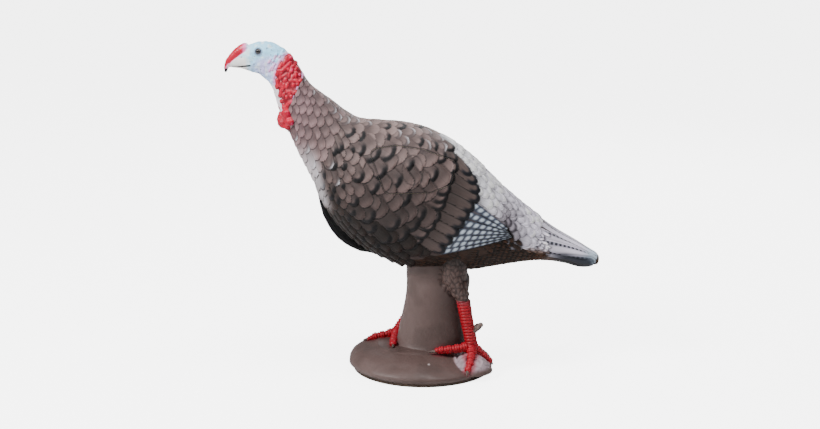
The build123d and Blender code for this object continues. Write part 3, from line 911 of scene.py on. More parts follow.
def earth_material():
    """Brown paint sprayed on the pedestal, with a broad sheen and fine dust."""
    m = Material("pedestal paint")
    paint, groove = m.stored("paint", True), m.stored("crease")
    large, middle, fine = m.noise(14, 5), m.noise(60, 5, 0.6, 1.6), m.noise(620, 4)
    colour = m.graded(m.between(large, 0.38, 0.66, 0.0, 0.5), paint, 0.86, 0.84, 0.83)
    colour = m.graded(m.between(middle, 0.56, 0.72, 0.0, 0.3), colour, 1.22, 1.2, 1.18)
    colour = m.graded(m.between(fine, 0.64, 0.75, 0.0, 0.3), colour, 1.5, 1.45, 1.4)
    # darker by the crease attribute: painted shade in the grooves between the thigh's scales, and dark
    # crack lines drawn on the stone
    colour = m.graded(m.sum("MULTIPLY", groove, 0.85), colour, 0.3, 0.27, 0.26)
    normal = m.bump(middle, 0.3, 0.0012)
    normal = m.bump(fine, 0.35, 0.0004, normal)
    m.set(Base_Color=colour, Roughness=m.between(middle, 0.3, 0.7, 0.42, 0.6), Normal=normal)
    m.shader.inputs["Specular IOR Level"].default_value = 0.45
    return m.made


def bristle_material():
    m = Material("bristle")
    streak = m.noise(260, 4, 0.6, 0.0)
    colour = m.mix(m.between(streak, 0.35, 0.7), paint_colour(4, 4, 5), paint_colour(24, 22, 23))
    m.shader.inputs["Specular IOR Level"].default_value = 0.25
    m.set(Base_Color=colour, Roughness=m.between(streak, 0.3, 0.7, 0.45, 0.65),
          Normal=m.bump(m.noise(900, 2), 0.3, 0.0002))
    return m.made


PUPIL = (-0.3375, 0.6762)     # x and z of its middle, in m


def eye_material():
    """Dark glass eye: black pupil, dark brown iris, clear polished front."""
    m = Material("eye glass")
    x, _, z = m.axes()
    dx, dz = m.sum("SUBTRACT", x, PUPIL[0]), m.sum("SUBTRACT", z, PUPIL[1])
    away = m.sum("SQRT", m.sum("ADD", m.sum("MULTIPLY", dx, dx), m.sum("MULTIPLY", dz, dz)))
    fibre = m.noise(1500, 3, 0.6, 1.5)
    iris = m.mix(m.between(fibre, 0.3, 0.7), paint_colour(36, 30, 32), paint_colour(84, 74, 72))
    colour = m.mix(m.between(away, 0.0030, 0.0036), (0.004, 0.004, 0.005, 1), iris)
    m.set(Base_Color=colour, Roughness=m.between(fibre, 0.2, 0.8, 0.08, 0.14))
    m.shader.inputs["Coat Weight"].default_value = 1.0
    m.shader.inputs["Coat Roughness"].default_value = 0.02
    m.shader.inputs["IOR"].default_value = 1.52
    return m.made


def metal_material(name, light, dark, rough, scale):
    m = Material(name)
    blotch, fine = m.cell(scale), m.noise(scale * 6, 4)
    brushed = m.noise(180, 3, 0.5, 0.0, m.stretch(1, 1, 14))
    colour = m.mix(m.between(blotch, 0.1, 0.8), light, dark)
    colour = m.graded(m.between(fine, 0.58, 0.72, 0.0, 0.35), colour, 0.55, 0.5, 0.45)
    m.set(Base_Color=colour, Metallic=1.0,
          Roughness=m.between(brushed, 0.3, 0.7, rough - 0.08, rough + 0.1),
          Normal=m.bump(fine, 0.2, 0.0002, m.bump(brushed, 0.15, 0.0003)))
    return m.made


def plastic_material(name, colour_a, colour_b, rough):
    m = Material(name)
    flow, fine = m.noise(34, 4, 0.5, 0.8), m.noise(700, 3)
    colour = m.mix(m.between(flow, 0.35, 0.65), colour_a, colour_b)
    colour = m.graded(m.between(fine, 0.64, 0.76, 0.0, 0.3), colour, 1.5, 1.5, 1.5)
    m.set(Base_Color=colour, Roughness=m.between(fine, 0.3, 0.7, rough - 0.06, rough + 0.08),
          Normal=m.bump(fine, 0.3, 0.0002))
    return m.made


PLY = 0.0024          # m between the dark layers in the plywood's edge


def board_material():
    """Plywood stained dark: grain along X, plies in the edge."""
    m = Material("stained plywood")
    grain = m.noise(120, 6, 0.65, 0.6, m.stretch(0.08, 1.0, 1.0))
    plies = m.sum("SINE", m.sum("MULTIPLY", m.axes()[2], 2 * math.pi / PLY))
    colour = m.mix(m.between(grain, 0.3, 0.7), paint_colour(38, 30, 26), paint_colour(86, 66, 52))
    colour = m.graded(m.between(plies, -0.4, 0.8, 0.0, 0.35), colour, 0.55, 0.5, 0.48)
    m.set(Base_Color=colour, Roughness=m.between(grain, 0.3, 0.7, 0.62, 0.82),
          Normal=m.bump(grain, 0.5, 0.0006))
    return m.made


# ---- showing the pieces --------------------------------------------------------------------
def show(made, body, materials, nodes=()):
    for material in materials:
        made.data.materials.append(material)
    if nodes:
        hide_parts(*nodes)
    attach(made, body)
    return made


def crisp_cuts(made):
    """Sharp rims where the skin, material 0, meets a cut face, material 1.

    A cut leaves the vertices of a rim without paint, so each takes it from the nearest skin.
    """
    mesh = made.data
    index, total = np.zeros((2, len(mesh.polygons)), np.int32)
    mesh.polygons.foreach_get("material_index", index)
    mesh.polygons.foreach_get("loop_total", total)
    edge_of, ends = np.zeros(len(mesh.loops), np.int32), np.zeros(len(mesh.edges) * 2, np.int32)
    mesh.loops.foreach_get("edge_index", edge_of)
    mesh.edges.foreach_get("vertices", ends)
    ends = ends.reshape(-1, 2)
    of_cut = np.repeat(index, total) == 1
    skin = np.bincount(edge_of[~of_cut], minlength=len(mesh.edges)) > 0
    inner = np.bincount(edge_of[of_cut], minlength=len(mesh.edges)) > 0
    rim = skin & inner
    for name, where, values in (("sharp_edge", "EDGE", rim), ("sharp_face", "FACE", index == 1)):
        sharp = mesh.attributes.get(name) or mesh.attributes.new(name, "BOOLEAN", where)
        sharp.data.foreach_set("value", values)
    if not rim.any():
        return
    on_rim = np.unique(ends[rim])
    painted = np.setdiff1d(np.arange(len(mesh.vertices)), ends[inner])
    p, _ = points_of(mesh)
    tree = KDTree(len(painted))
    for i in painted:
        tree.insert(p[i], i)
    tree.balance()
    nearest = np.array([tree.find(p[i])[1] for i in on_rim])
    for name, width in (("paint", 4), ("crease", 1), ("along", 1), ("across", 1)):
        data = mesh.attributes[name].data
        key = "color" if width == 4 else "value"
        values = np.zeros(len(mesh.vertices) * width, np.float32)
        data.foreach_get(key, values)
        values = values.reshape(-1, width)
        values[on_rim] = values[nearest]
        data.foreach_set(key, values.ravel())


def cutter(name, outline, low, high, axis="z"):
    made = prism(name, outline, low, high, axis)
    made.data.materials.append(plumage)
    made.data.materials.append(foam)
    for face in made.data.polygons:
        face.material_index = 1
    return made


plumage, foam = plumage_material(), foam_material()
POST_TOP, POCKET_LOW = 262, 120                # the pockets' cutters reach from well below
POST = (30, 0, 65, 50)                         # x, y and half-axes of the post's top
THIGH_X, THIGH_Y, THIGH_R = 64, 46, 27
SOCKET_R, SOCKET_TOP = 16.9, 368.05

torso = body_casting("torso", TAIL_SEAM, NECK_SEAM, row_gap=1.95, columns=380)
neck = body_casting("neck", NECK_SEAM, HEAD_SEAM, row_gap=1.25, columns=320)
tail = body_casting("tail", 0, TAIL_SEAM, row_gap=1.4, columns=230)
for made in (torso, neck, tail):
    made.data.materials.append(plumage)
    made.data.materials.append(foam)
for made in (torso, neck):
    for face in made.data.polygons[-2:]:
        face.material_index = 1
tail.data.polygons[-1].material_index = 1

core = torso.copy()
core.name, core.data = "core", torso.data.copy()
bpy.context.scene.collection.objects.link(core)
room = cutter("room", rounded(CORE_OUTLINE, CORE_CORNER), -190, 190, "y")
cut(core, room, "INTERSECT")
remove(room)
shapes = [(rounded(CORE_OUTLINE, CORE_CORNER, SLIP), -190, 190, "y"),
          (ring(*POST[:2], POST[2] + SLIP, POST[3] + SLIP), POCKET_LOW, POST_TOP + SLIP, "z")]
for y in (-THIGH_Y, THIGH_Y):
    pocket = ring(THIGH_X, y, THIGH_R + SLIP, THIGH_R + SLIP)
    shapes.append((pocket, POCKET_LOW, POST_TOP + SLIP, "z"))
shapes.append((ring(*POST[:2], SOCKET_R, SOCKET_R), POST_TOP - 12, SOCKET_TOP, "z"))
for outline, low, high, axis in shapes:
    room = cutter("room", outline, low, high, axis)
    cut(torso, room)
    remove(room)
for made in (torso, core, neck, tail):
    crisp_cuts(made)
for made, node, body in ((torso, "torso_casting", "torso"), (core, "vital_core", "core"),
                         (neck, "neck_casting", "torso"), (tail, "tail_casting", "torso")):
    made.name = made.name + "_skin"
    show(made, body, (), [node])

# ---- head ----------------------------------------------------------------------------------
HOOK = [(-399, 0, 652, 7.5), (-404.5, 0, 643, 5), (-406.3, 0, 634, 2.6)]
SNOOD = [(-366, 0, 681, 11.4), (-373, 0, 677, 11.6), (-381, 0, 671, 10.6), (-390, 0, 663.5, 9.2),
         (-398, 0, 655.5, 7.6), (-403.5, 0, 648, 5.2), (-406.3, 0, 640, 3.4)]
GAPE = [(-394, 643.6), (-378, 643.4), (-366, 644.6), (-355, 646.5)]
PITS = [(-319, 682), (-310, 679), (-311, 669), (-310, 651), (-345, 666), (-333, 638), (-320, 633),
        (-346, 650), (-372, 664)]
CARUNCLES = [(-276, 671), (-262, 666), (-254, 655), (-249, 638), (-249, 620), (-259, 603),
             (-265, 588), (-269, 573), (-272, 556), (-290, 556), (-291, 580), (-294, 592),
             (-302, 606), (-301, 630), (-296, 640), (-288, 656)]
# The wattle hangs over the front of the neck: x, z and radius of its lobes, seen from the side.
WATTLE = [(-280, 550, 11), (-291, 543, 9.5), (-273, 535, 10.5), (-287, 529, 12), (-281, 540, 9),
          (-278, 523, 8), (-295, 559, 5), (-284, 562, 6), (-296, 535, 7)]
EYE, EYE_OUT, EYE_R = (-337, 676), 13.6, 6.2    # x and z of its middle, y, and its radius
BLUE, LILAC_SKIN, PALE = rgb(158, 224, 255), rgb(212, 200, 250), rgb(240, 248, 255)
BEAK_WHITE = rgb(252, 250, 246)
PINK, RED, DARK_RED = rgb(240, 130, 180), rgb(186, 0, 44), rgb(100, 0, 22)


def inside_polygon(x, z, corners):
    inside = np.zeros(np.shape(x), bool)
    for (ax, az), (bx, bz) in zip(corners, corners[1:] + corners[:1]):
        crosses = (az > z) != (bz > z)
        inside ^= crosses & (x < (bx - ax) * (z - az) / (bz - az + 1e-9) + ax)
    return inside


def head_lumps():
    """Caruncles down the throat and softer folds on the cheek, as left-side balls."""
    red, pale = [], []
    spots = []
    while len(spots) < 44:
        x, z = rng.uniform(-303, -247), rng.uniform(556, 672)
        if not inside_polygon(x, z, CARUNCLES):
            continue
        if any(math.hypot((x - a) * 1.15, (z - b) * 0.8) < 6.6 for a, b in spots):
            if rng.uniform() > 0.01:
                continue
        spots.append((x, z))
    for x, z in spots:
        r, tilt = rng.uniform(4.6, 6.2), rng.normal(0.3, 0.45)
        reach = rng.uniform(0.5, 4.5)
        ends = []
        for k in (-1, 1):
            place, out = on_left_side(x + k * reach * math.sin(tilt), z + k * reach * math.cos(tilt))
            ends.append((*(place - out * 0.48 * r), r * rng.uniform(0.9, 1.0)))
        red += chain(ends, 0.6)
    for x, z, r in WATTLE:
        place, out = on_left_side(x, z)
        if x < -290 or place[1] > -6:
            place, out = np.array([x, -5.0, z]), np.array([0, -1.0, 0])
        red.append((*(place + out * 0.15 * r), r))
        red.append((x, -3.0, z, 0.9 * r))
    folds = [(-303, 664, 0.5, 9, 2.4), (-297, 650, 0.5, 9, 2.6), (-306, 645, 0.45, 7, 2.2),
             (-291, 671, 0.5, 7, 2.4), (-304, 628, 0.3, 6, 2.0), (-313, 640, 0.5, 5, 1.8),
             (-283, 676, 0.6, 6, 2.2), (-313, 658, 0.6, 5, 1.8)]
    for x, z, tilt, reach, r in folds:
        ends = []
        for k in (-1, 1):
            place, out = on_left_side(x + k * reach * math.sin(tilt), z + k * reach * math.cos(tilt))
            ends.append((*(place + out * 0.1 * r), r))
        pale += chain(ends, 0.5)
    return red, pale


def ball_distance(p, balls):
    best = np.full(len(p), 99.0)
    for x, y, z, r in balls:
        best = np.minimum(best, np.sqrt((p[:, 0] - x) ** 2 + (p[:, 1] - y) ** 2 + (p[:, 2] - z) ** 2) - r)
    return best


def build_head():
    s = np.linspace(REACH[HEAD_SEAM], REACH[-1], 110)
    theta = np.arange(120) * 2 * math.pi / 120
    skull = surface(*np.meshgrid(s, theta, indexing="ij")).reshape(-1, 3)
    base = make_object("head_base", skull, grid_faces(len(s), len(theta)))
    red, pale = head_lumps()
    red = red + [(x, -y, z, r) for x, y, z, r in red]
    pale = pale + [(x, -y, z, r) for x, y, z, r in pale]
    snood = chain(SNOOD)
    lids = []
    for side in (-1, 1):
        for k in range(26):
            angle = 2 * math.pi * k / 26
            x, z = EYE[0] + 7.4 * math.cos(angle), EYE[1] + 6.9 * math.sin(angle)
            place, _ = on_left_side(x, z)
            lids.append((place[0], side * abs(place[1] - 0.1), place[2], 1.5 + 0.5 * math.sin(angle)))
    extras = make_object("head_extras", *join_balls(chain(HOOK) + red + pale + snood + lids))
    made = voxel_copy("head_skin", [base, extras], size=0.8, smoothing=4)
    p, n = points_of(made.data)
    left = p * [1, -1, 1]
    left = np.where(p[:, 1:2] > 0, left, p)
    x, z = p[:, 0], p[:, 2]
    on_base = np.array([_net.find_nearest(Vector(q))[3] for q in left])
    near_red, near_pale = ball_distance(p, red), ball_distance(p, pale)
    near_snood = ball_distance(p, snood)
    region = inside_polygon(x, z, CARUNCLES)
    gape = path_distance(x, z, GAPE)
    side = np.abs(p[:, 1])
    gape_depth = smooth(2.4, 0.9, gape) * (side > 2.2) * smooth(-396, -384, x)
    pits = np.min([np.hypot(x - a, z - b) for a, b in PITS], axis=0)
    pit = smooth(2.2, 0.4, pits)
    wrinkle = soft_noise(p * [1.0, 1.0, 1.4], 7.5, 3) * 1.1 + soft_noise(p, 3.4, 5) * 0.35
    skin = smooth(-372, -350, x) * (1 - region * 0.6)
    eye = np.hypot(x - EYE[0], z - EYE[1])
    move = wrinkle * skin - 1.5 * gape_depth - 0.8 * pit
    move += 0.5 * soft_noise(p, 5, 33) * smooth(-356, -372, x) * (near_snood < 1.0)
    move *= smooth(8.2, 10.5, eye)
    set_points(made.data, p + n * move[:, None])

    c = np.tile(BLUE, (len(p), 1))

    def tint(colour, share):
        nonlocal c
        c = blend(c, colour, np.clip(share, 0, 1))

    mottle = soft_noise(p, 7, 8)
    tint(LILAC_SKIN, 0.85 * smooth(34, 10, np.hypot(x + 322, (z - 646) * 1.2) + 5 * mottle))
    tint(LILAC_SKIN, 0.55 * smooth(660, 615, z))
    tint(PALE, 0.5 * smooth(-348, -362, x + 3 * mottle))
    tint(PALE, 0.65 * smooth(0.15, 0.6, mottle) * smooth(9, 14, eye))
    to_red = path_distance(x, z, CARUNCLES + CARUNCLES[:1])
    tint(PINK, 0.75 * smooth(11, 2, to_red + 3 * mottle) * ~region)
    tint(rgb(240, 226, 232), smooth(-284, -293, x) * smooth(612, 600, z))
    tint(BEAK_WHITE, smooth(-357, -366, x) * smooth(668, 660, z))
    tint(PINK, 0.5 * smooth(1.2, 0.2, near_pale) * (mottle > -0.2))
    tint(PINK, smooth(1.8, 0.3, near_snood) * smooth(-358, -366, x))
    tint(RED, smooth(0.9, 0.1, near_snood) * smooth(-366, -374, x))
    strength = np.maximum(smooth(0.9, 0.2, near_red), region * smooth(0.0, 1.5, to_red))
    tint(RED * (1 + 0.12 * mottle[:, None]), strength)
    # painted highlight: pale pink on the raised tops of the rear caruncles
    tint(PINK, 0.55 * strength * smooth(0.25, 0.6, soft_noise(p, 9, 21))
         * smooth(-285, -262, x) * (on_base > 1.6))
    # painted shade: dark red in the grooves between the caruncles
    groove = strength * smooth(1.5, 0.2, on_base)
    tint(DARK_RED, 0.45 * groove)
    tint(rgb(16, 14, 16), smooth(641, 637.5, z) * smooth(-397, -400, x) * 0.95)
    # painted shade in the slit of the gape
    tint(rgb(14, 12, 14), gape_depth * smooth(-392, -368, x))
    # painted shade: greyish blue in the pits pressed into the head
    tint(rgb(110, 112, 140), 0.5 * pit * (1 - strength))
    tint(rgb(120, 124, 150), 0.5 * smooth(9.6, 8.4, eye) * smooth(6.5, 7.4, eye))
    tint(rgb(60, 62, 78), 0.85 * smooth(7.2, 6.4, eye))
    store(made.data, "paint", c)
    store(made.data, "wet", np.maximum(strength, smooth(1.0, 0.2, near_snood)))
    store(made.data, "crease", np.clip(groove + 0.7 * pit, 0, 1))
    remove(base, extras)
    return made


show(build_head(), "torso", [skin_material()], ["head_casting"])

glass = eye_material()
points, faces = ball_template(48, 28)
for side, name in ((-1, "left_eye"), (1, "right_eye")):
    middle = [EYE[0], side * EYE_OUT, EYE[1]]
    made = make_object(name + "_glass", points * EYE_R + middle, faces)
    made.data.shade_smooth()
    show(made, "torso", [glass], [name])

# ---- beard ---------------------------------------------------------------------------------
# x, z, half thickness and half width down its middle line.
BEARD = np.array([(-216, 377, 4, 8), (-201, 340, 12, 14), (-182, 312, 16, 18), (-167, 294, 17, 20),
                  (-149, 280, 17, 20), (-129, 268, 15, 18), (-105, 262, 13, 15), (-74, 247, 9, 11),
                  (-48, 229, 5, 7)], float)


def beard_place(t, u, v):
    """A point of the beard: t down its length, u across it and v out from the breast."""
    rows = np.arange(len(BEARD))
    x, z, thick, wide = (np.interp(t, rows, BEARD[:, k]) for k in range(4))
    ahead = np.clip(t + 0.3, 0, len(BEARD) - 1)
    dx, dz = np.interp(ahead, rows, BEARD[:, 0]) - x, np.interp(ahead, rows, BEARD[:, 1]) - z
    long = math.hypot(dx, dz) + 1e-6
    return np.array([x + dz / long * v * thick, u * wide, z - dx / long * v * thick])


def build_beard():
    points, faces = [], []
    steps, corners = 15, 4
    last = len(BEARD) - 1
    for k in range(620):
        angle, out = rng.uniform(0, 2 * math.pi), math.sqrt(rng.uniform(0.25, 1.0))
        u, v = out * math.cos(angle), out * math.sin(angle)
        start = max(0.0, rng.uniform(-0.6, 1.6))
        end = rng.uniform(0.62, 1.0) * last if k % 3 else last - rng.uniform(0, 0.5)
        if end - start < 1.5:
            continue
        thick = rng.uniform(0.75, 1.35)
        wander, swirl = rng.normal(0, 0.10, 2), rng.uniform(0, 6.28)
        tube = []
        for i in range(steps):
            f = i / (steps - 1)
            t = start + (end - start) * f
            du = wander[0] * f + 0.05 * math.sin(swirl + 5 * f)
            dv = wander[1] * f + 0.05 * math.cos(swirl + 4 * f)
            tube.append(beard_place(t, (u + du) * 0.97, (v + dv) * 0.97))
        tube = np.array(tube)
        first = len(points)
        for i in range(steps):
            way = unit(tube[min(i + 1, steps - 1)] - tube[max(i - 1, 0)])
            across = unit(np.cross(way, [0.1, 1.0, 0.2]))
            up = np.cross(way, across)
            f = i / (steps - 1)
            r = thick * (0.55 + 0.45 * min(1, 6 * f)) * (1 - 0.85 * max(0, f - 0.45) / 0.55)
            for j in range(corners):
                turn = 2 * math.pi * j / corners + 0.15 * i
                points.append(tube[i] + r * (across * math.cos(turn) + up * math.sin(turn)))
        for i in range(steps - 1):
            a, b = first + i * corners, first + (i + 1) * corners
            faces += [(a + j, a + (j + 1) % corners, b + (j + 1) % corners, b + j)
                      for j in range(corners)]
        faces += [tuple(reversed(range(first, first + corners))),
                  tuple(range(first + (steps - 1) * corners, first + steps * corners))]
    made = make_object("beard_bristles", points, faces)
    made.data.shade_smooth()
    return made


show(build_beard(), "torso", [bristle_material()])
mass = voxel_copy("beard_mass", [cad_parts["beard"]], size=1.3, smoothing=3)
p, n = points_of(mass.data)
along = (p[:, 0] + 216) * 0.55 - (p[:, 2] - 377) * 0.8
ridges = np.sin(p[:, 1] * 1.6 + 2.0 * soft_noise(p * [0.2, 1, 0.2], 6, 4) + 0.02 * along)
set_points(mass.data, p + n * (-1.6 + 0.6 * ridges)[:, None])
show(mass, "torso", [bristle_material()], ["beard"])

# ---- legs, claws and spurs -----------------------------------------------------------------
LEFT_LEG = [
    [(103, -58, 62, 10.5), (92, -58, 117, 11), (83, -57, 168, 12.5)],
    [(103, -58, 62, 10.5), (78, -66, 58, 7.5), (48, -71, 56, 6.8), (30, -73, 55, 5.2)],
    [(103, -58, 62, 10.5), (101, -81, 45, 7.5), (97, -101, 33, 6.5), (93, -113, 27, 5)],
    [(103, -58, 62, 10.5), (121, -55, 44, 7.5), (134, -54, 32, 6.2), (140, -53, 27, 5)]]
RIGHT_LEG = [
    [(-54, 40, 63, 10.5), (-22, 54, 110, 10), (12, 58, 140, 10.5), (45, 54, 166, 12.5)],
    [(-54, 40, 63, 10.5), (-76, 36, 57.5, 7.5), (-100, 34, 53, 7), (-114, 33, 48.5, 5.2)],
    [(-54, 40, 63, 10.5), (-60, 12, 58, 7), (-62, -12, 57, 6.4), (-63, -28, 56, 5.2)],
    [(-54, 40, 63, 10.5), (-50, 66, 57, 7.5), (-56, 86, 52, 6), (-58, 96, 48.5, 5)]]
LEG_RED, LEG_PINK = rgb(166, 0, 24), rgb(204, 24, 56)


def nearest_limb(p, limbs):
    """For each point: distance along its nearest limb, and the gap to that limb's skin."""
    gap, along, number = np.full(len(p), 1e9), np.zeros(len(p)), np.zeros(len(p), int)
    for k, limb in enumerate(limbs):
        reach, out = limb_place(p, limb)
        steps = [math.dist(a[:3], b[:3]) for a, b in zip(limb, limb[1:])]
        lengths = np.concatenate([[0], np.cumsum(steps)])
        skin = out - np.interp(reach, lengths, [a[3] for a in limb])
        closer = skin < gap
        gap, along = np.where(closer, skin, gap), np.where(closer, reach, along)
        number = np.where(closer, k, number)
    return along, gap, number


def build_leg(name, limbs):
    """Broad scutes ring the front of the shank and the toes; small pebbles fill the rest."""
    made = voxel_copy(name + "_skin", [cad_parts[name]], size=0.8, smoothing=1)
    p, n = points_of(made.data)
    along, _, number = nearest_limb(p, limbs)
    pitch = np.where(number == 0, 6.6, 5.6)
    phase = along / pitch + 0.10 * np.abs(n[:, 1]) * (number == 0)
    ring = np.abs((phase % 1.0) - 0.5) * 2                 # 1 in the groove between two scutes
    pebble = cells(p, 4.6, 5)
    front = np.where(number == 0, smooth(0.8, 0.5, n[:, 0]), smooth(-0.2, 0.25, n[:, 2]))
    groove = front * smooth(0.72, 0.98, ring) + (1 - front) * smooth(0.16, 0.02, pebble)
    bulge = front * (1 - ring**2) * 1.3 + (1 - front) * smooth(0.0, 0.4, pebble) * 0.6
    knuckle = 0.9 * np.cos(2 * math.pi * along / 17) * (number > 0) * (along > 8)
    move = 0.9 + 0.8 * (number == 0) + bulge - 1.1 * groove + knuckle + 0.25 * soft_noise(p, 6, 2)
    set_points(made.data, p + n * move[:, None])
    # painted highlight: paler pink on the upward faces outside the grooves; the patchy pink besides it is
    # random tone
    c = LEG_RED + (LEG_PINK - LEG_RED) * (0.35 * smooth(0.2, 0.9, n[:, 2]) * (1 - groove)
                                          + 0.2 * smooth(0.1, 0.7, soft_noise(p, 12, 9)))[:, None]
    cuff = smooth(150, 162, p[:, 2] + 3 * soft_noise(p, 6, 4))
    c = blend(c, rgb(112, 62, 62), 0.85 * cuff)
    store(made.data, "paint", c)
    store(made.data, "crease", groove)
    return made


red_paint = leg_material()
for name, limbs in (("left_leg", LEFT_LEG), ("right_leg", RIGHT_LEG)):
    show(build_leg(name, limbs), "pedestal", [red_paint], [name])

claw_horn = horn_material("claw horn", paint_colour(118, 98, 90), paint_colour(58, 44, 42))
spur_horn = horn_material("spur horn", paint_colour(132, 112, 104), paint_colour(74, 58, 54))
for name, material, slot in (("left_claws", claw_horn, "claw_plastic"),
                             ("right_claws", claw_horn, "claw_plastic"),
                             ("left_spur", spur_horn, "spur_plastic"),
                             ("right_spur", spur_horn, "spur_plastic")):
    made = voxel_copy(name + "_skin", [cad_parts[name]], size=0.45, smoothing=2)
    p, n = points_of(made.data)
    swell = 0.18 * np.sin(p[:, 0] * 2.1 + 0.8 * soft_noise(p, 5, 6)) + 0.1
    set_points(made.data, p + n * swell[:, None])
    show(made, "pedestal", [material], [name])

# ---- pedestal ------------------------------------------------------------------------------
THIGHS = [[(THIGH_X, -THIGH_Y, POST_TOP, THIGH_R), (THIGH_X, -THIGH_Y, 205, THIGH_R),
           (73, -52, 186, 22), (83, -56, 160, 14)],
          [(THIGH_X, THIGH_Y, POST_TOP, THIGH_R), (THIGH_X, THIGH_Y, 205, THIGH_R),
           (60, 50, 185, 22), (47, 53, 160, 14)]]
EARTH, EARTH_DARK, EARTH_LIT_SIDE = rgb(92, 73, 69), rgb(66, 51, 47), rgb(126, 108, 105)
STONE, THIGH_BROWN, TOP_BROWN = rgb(186, 166, 176), rgb(88, 69, 64), rgb(46, 33, 28)


def facets(p, size, seed, tilt):
    """Flat facets: every random cell is a plane of its own slope."""
    q = p / size
    base = np.floor(q).astype(np.int64)
    near, height = np.full(len(p), 9.0), np.zeros(len(p))
    for dx in (-1, 0, 1):
        for dy in (-1, 0, 1):
            for dz in (-1, 0, 1):
                c = base + [dx, dy, dz]
                jitter = np.stack([hash_noise(c, seed + k) for k in range(6)], -1) - 0.5
                spot = c + 0.5 + 0.8 * jitter[:, :3]
                d = np.linalg.norm(q - spot, axis=1)
                closer = d < near
                near = np.where(closer, d, near)
                height = np.where(closer, np.sum((q - spot) * jitter[:, 3:], -1) * tilt, height)
    return height


def build_pedestal():
    made = voxel_copy("pedestal_skin", [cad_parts["pedestal_casting"]], size=1.9, smoothing=1)
    p, n = points_of(made.data)
    x, y, z = p.T
    _, thigh_gap, _ = nearest_limb(p, THIGHS)
    from_tube = np.hypot(x - 30, y)
    hidden = (from_tube < 17) | ((z < 20) & (from_tube < 50)) | (z < 7.5)
    for a, b in ((-95, -45), (95, 45)):
        hidden |= (np.hypot(x - a, y - b) < 12) & (z < 34)
    ragged = 3.0 * soft_noise(p, 11, 31)
    on_thigh = smooth(7.0, 3.0, thigh_gap + ragged) * smooth(156, 166, z)
    on_thigh = np.maximum(on_thigh, smooth(232, 246, z + 2 * ragged + 0.5 * (x - 30)) * (x > 20))
    mound = smooth(64, 46, z)
    stone = smooth(1.10, 0.96, np.hypot((x - 103) / 38, (y + 73) / 42)) * smooth(10, 20, z) * (z < 56)
    scales = cells(p * [1.0, 1.0, 0.75], 9.5, 12)
    wave = (soft_noise(p * [1, 1, 1.6], 42, 2) * 1.8 + soft_noise(p, 17, 3) * 0.6) * mound
    wave += soft_noise(p, 34, 41) * 2.6 * smooth(40, 24, z) * smooth(8, 14, z) * smooth(20, -60, x)
    wave += (soft_noise(p * [1, 1, 0.35], 26, 6) * 0.7) * (1 - mound) * (1 - on_thigh)
    wave += soft_noise(p, 6, 7) * 0.16
    broken = facets(p, 24, 13, 14.0) * stone
    scaly = on_thigh * (2.6 * smooth(0.0, 0.45, scales) - 1.7)
    move = np.where(hidden, 0, wave * (1 - on_thigh) * (1 - 0.7 * stone) + broken + scaly)
    move = np.where(z > 206, np.minimum(move, 0) * smooth(262, 250, z) - 0.12, move)
    move = np.where(z > 258, 0, move)
    set_points(made.data, p + n * move[:, None])

    # painted light and shade: the pedestal is lighter on faces turned left towards the key light, and the
    # post darker on faces turned right, away from it; the blotches between are random tone
    c = EARTH + (EARTH_LIT_SIDE - EARTH) * smooth(0.2, -0.9, n[:, 0])[:, None] * 0.45
    c = blend(c, EARTH_DARK, 0.35 * smooth(0.0, 0.7, soft_noise(p, 30, 15)))
    c = blend(c, EARTH_DARK * 0.86, 0.8 * smooth(-0.25, 0.75, n[:, 0]) * (1 - mound))
    c = blend(c, THIGH_BROWN, on_thigh)
    c = blend(c, TOP_BROWN, 0.85 * smooth(222, 246, z + 6 * soft_noise(p, 14, 33)))
    # the stone's own pale paint, laid on most where faces turn up and towards the key light, which adds a
    # painted highlight
    c = blend(c, STONE, 0.85 * stone * smooth(-0.3, 0.5, n[:, 2] - 0.4 * n[:, 0]))
    red_gap = np.minimum(nearest_limb(p, LEFT_LEG)[1], nearest_limb(p, RIGHT_LEG)[1] + 3)
    spray = smooth(13, 0.5, red_gap + 3.5 * soft_noise(p, 7, 17)) * (z < 150)
    c = blend(c, rgb(150, 30, 44), 0.55 * spray)
    fleck = smooth(2.8, 1.6, np.hypot(x - 12, (y + 112) * 0.8)) * smooth(0.2, 0.5, n[:, 2])
    c = blend(c, rgb(214, 204, 204), 0.8 * fleck)
    groove = on_thigh * smooth(0.22, 0.03, scales)
    store(made.data, "paint", c)
    crack = smooth(0.12, 0.0, np.abs(soft_noise(p, 19, 13)))
    store(made.data, "crease", np.clip(groove + 0.6 * stone * crack, 0, 1))
    return made


show(build_pedestal(), "pedestal", [earth_material()], ["pedestal_casting"])

# ---- what it stands on and holds inside ----------------------------------------------------
steel = metal_material("bare steel", paint_colour(150, 150, 152), paint_colour(112, 110, 110), 0.36, 160)
zinc = metal_material("zinc plate", paint_colour(196, 198, 196), paint_colour(160, 164, 164), 0.3, 420)
sleeve = plastic_material("sleeve plastic", paint_colour(34, 34, 36), paint_colour(52, 52, 54), 0.42)
rod = plastic_material("glass fibre rod", paint_colour(196, 184, 150), paint_colour(168, 152, 118), 0.4)
for name, material, slot in (
        ("base_board", board_material(), "board_wood"), ("support_tube", steel, "steel"),
        ("tube_flange", steel, "steel"), ("flange_bolts", zinc, "zinc_steel"),
        ("flange_nuts", zinc, "zinc_steel"), ("peg_sleeves", sleeve, "sleeve_plastic"),
        ("tube_socket", sleeve, "sleeve_plastic"), ("neck_rod", rod, "rod_plastic"),
        ("tail_rod", rod, "rod_plastic")):
    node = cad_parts[name]
    node.data.materials.clear()
    node.data.materials.append(material)

# ---- floor, light and camera ---------------------------------------------------------------
FLOOR_GLOW, FLOOR_RADIUS = 5.0, 20000          # the glow lights only the floor itself
CAMERA_TILT = 13.0                             # degrees below level


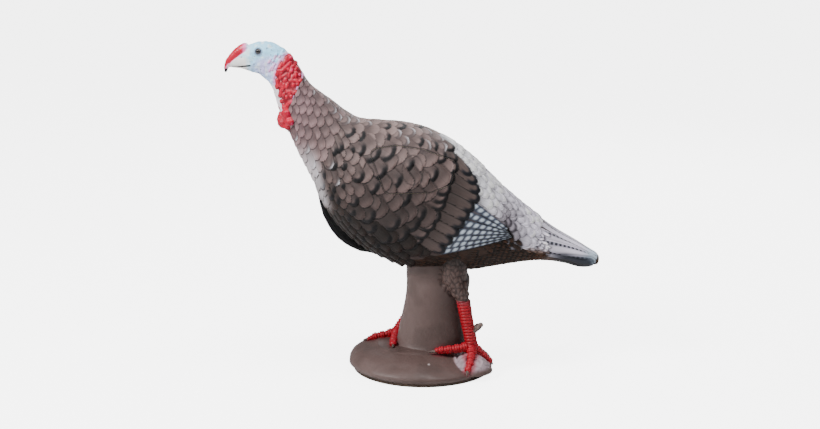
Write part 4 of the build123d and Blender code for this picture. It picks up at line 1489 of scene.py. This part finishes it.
def floor_material():
    m = Material("paper floor")
    soft, fine = m.noise(3, 3), m.noise(240, 3)
    colour = m.mix(m.between(soft, 0.3, 0.7), (0.80, 0.80, 0.80, 1), (0.83, 0.83, 0.83, 1))
    m.set(Base_Color=colour, Roughness=0.9, Normal=m.bump(fine, 0.05, 0.0002))
    m.put(m.shader.inputs["Emission Color"], (1, 1, 1, 1))
    m.shader.inputs["Emission Strength"].default_value = FLOOR_GLOW
    return m.made


floor = prism("floor", ring(0, 0, FLOOR_RADIUS, FLOOR_RADIUS, 96), -10, -0.05)
floor.data.materials.append(floor_material())
floor_only = bpy.data.collections.new("floor only")
floor_only.objects.link(floor)
floor.light_linking.receiver_collection = floor_only     # its glow doesn't light the bird

WORLD_LIGHT = 0.14
world = bpy.data.worlds.new("studio")
bpy.context.scene.world = world
world.use_nodes = True
world.node_tree.nodes["Background"].inputs["Color"].default_value = (1.0, 1.0, 1.0, 1)
world.node_tree.nodes["Background"].inputs["Strength"].default_value = WORLD_LIGHT


def softbox(name, place, aim, size, power, colour=(1, 1, 1)):
    light = bpy.data.lights.new(name, "AREA")
    light.shape, light.size, light.size_y = "RECTANGLE", size[0], size[1]
    light.energy, light.color = power, colour
    made = bpy.data.objects.new(name, light)
    made.location = place
    made.rotation_euler = (Vector(aim) - Vector(place)).to_track_quat("-Z", "Y").to_euler()
    bpy.context.scene.collection.objects.link(made)
    return made


softbox("key", (-2.3, -1.5, 2.4), (0, 0, 0.4), (0.8, 0.8), 116)
softbox("top", (0.5, -0.5, 2.8), (0.05, 0, 0.4), (1.2, 0.8), 46)
softbox("back", (0.9, 2.4, 1.8), (0, 0, 0.4), (1.6, 1.2), 34)
softbox("front", (-0.2, -3.4, 1.2), (0, 0, 0.4), (1.6, 1.2), 7)

pale_ends = bpy.data.collections.new("pale ends")
for name in ("head_skin", "tail_skin"):
    pale_ends.objects.link(bpy.data.objects[name])
sky = softbox("sky", (-0.7, -1.7, 2.5), (0, 0, 0.5), (1.0, 1.0), 44)
sky.light_linking.receiver_collection = pale_ends

camera = bpy.data.objects.new("camera", bpy.data.cameras.new("camera"))
camera.data.lens, camera.data.sensor_width = 68.66, 36
camera.location = (-0.0273, -3.2, 1.07)
camera.rotation_euler = (math.radians(90 - CAMERA_TILT), 0, 0)
bpy.context.scene.collection.objects.link(camera)
bpy.context.scene.camera = camera
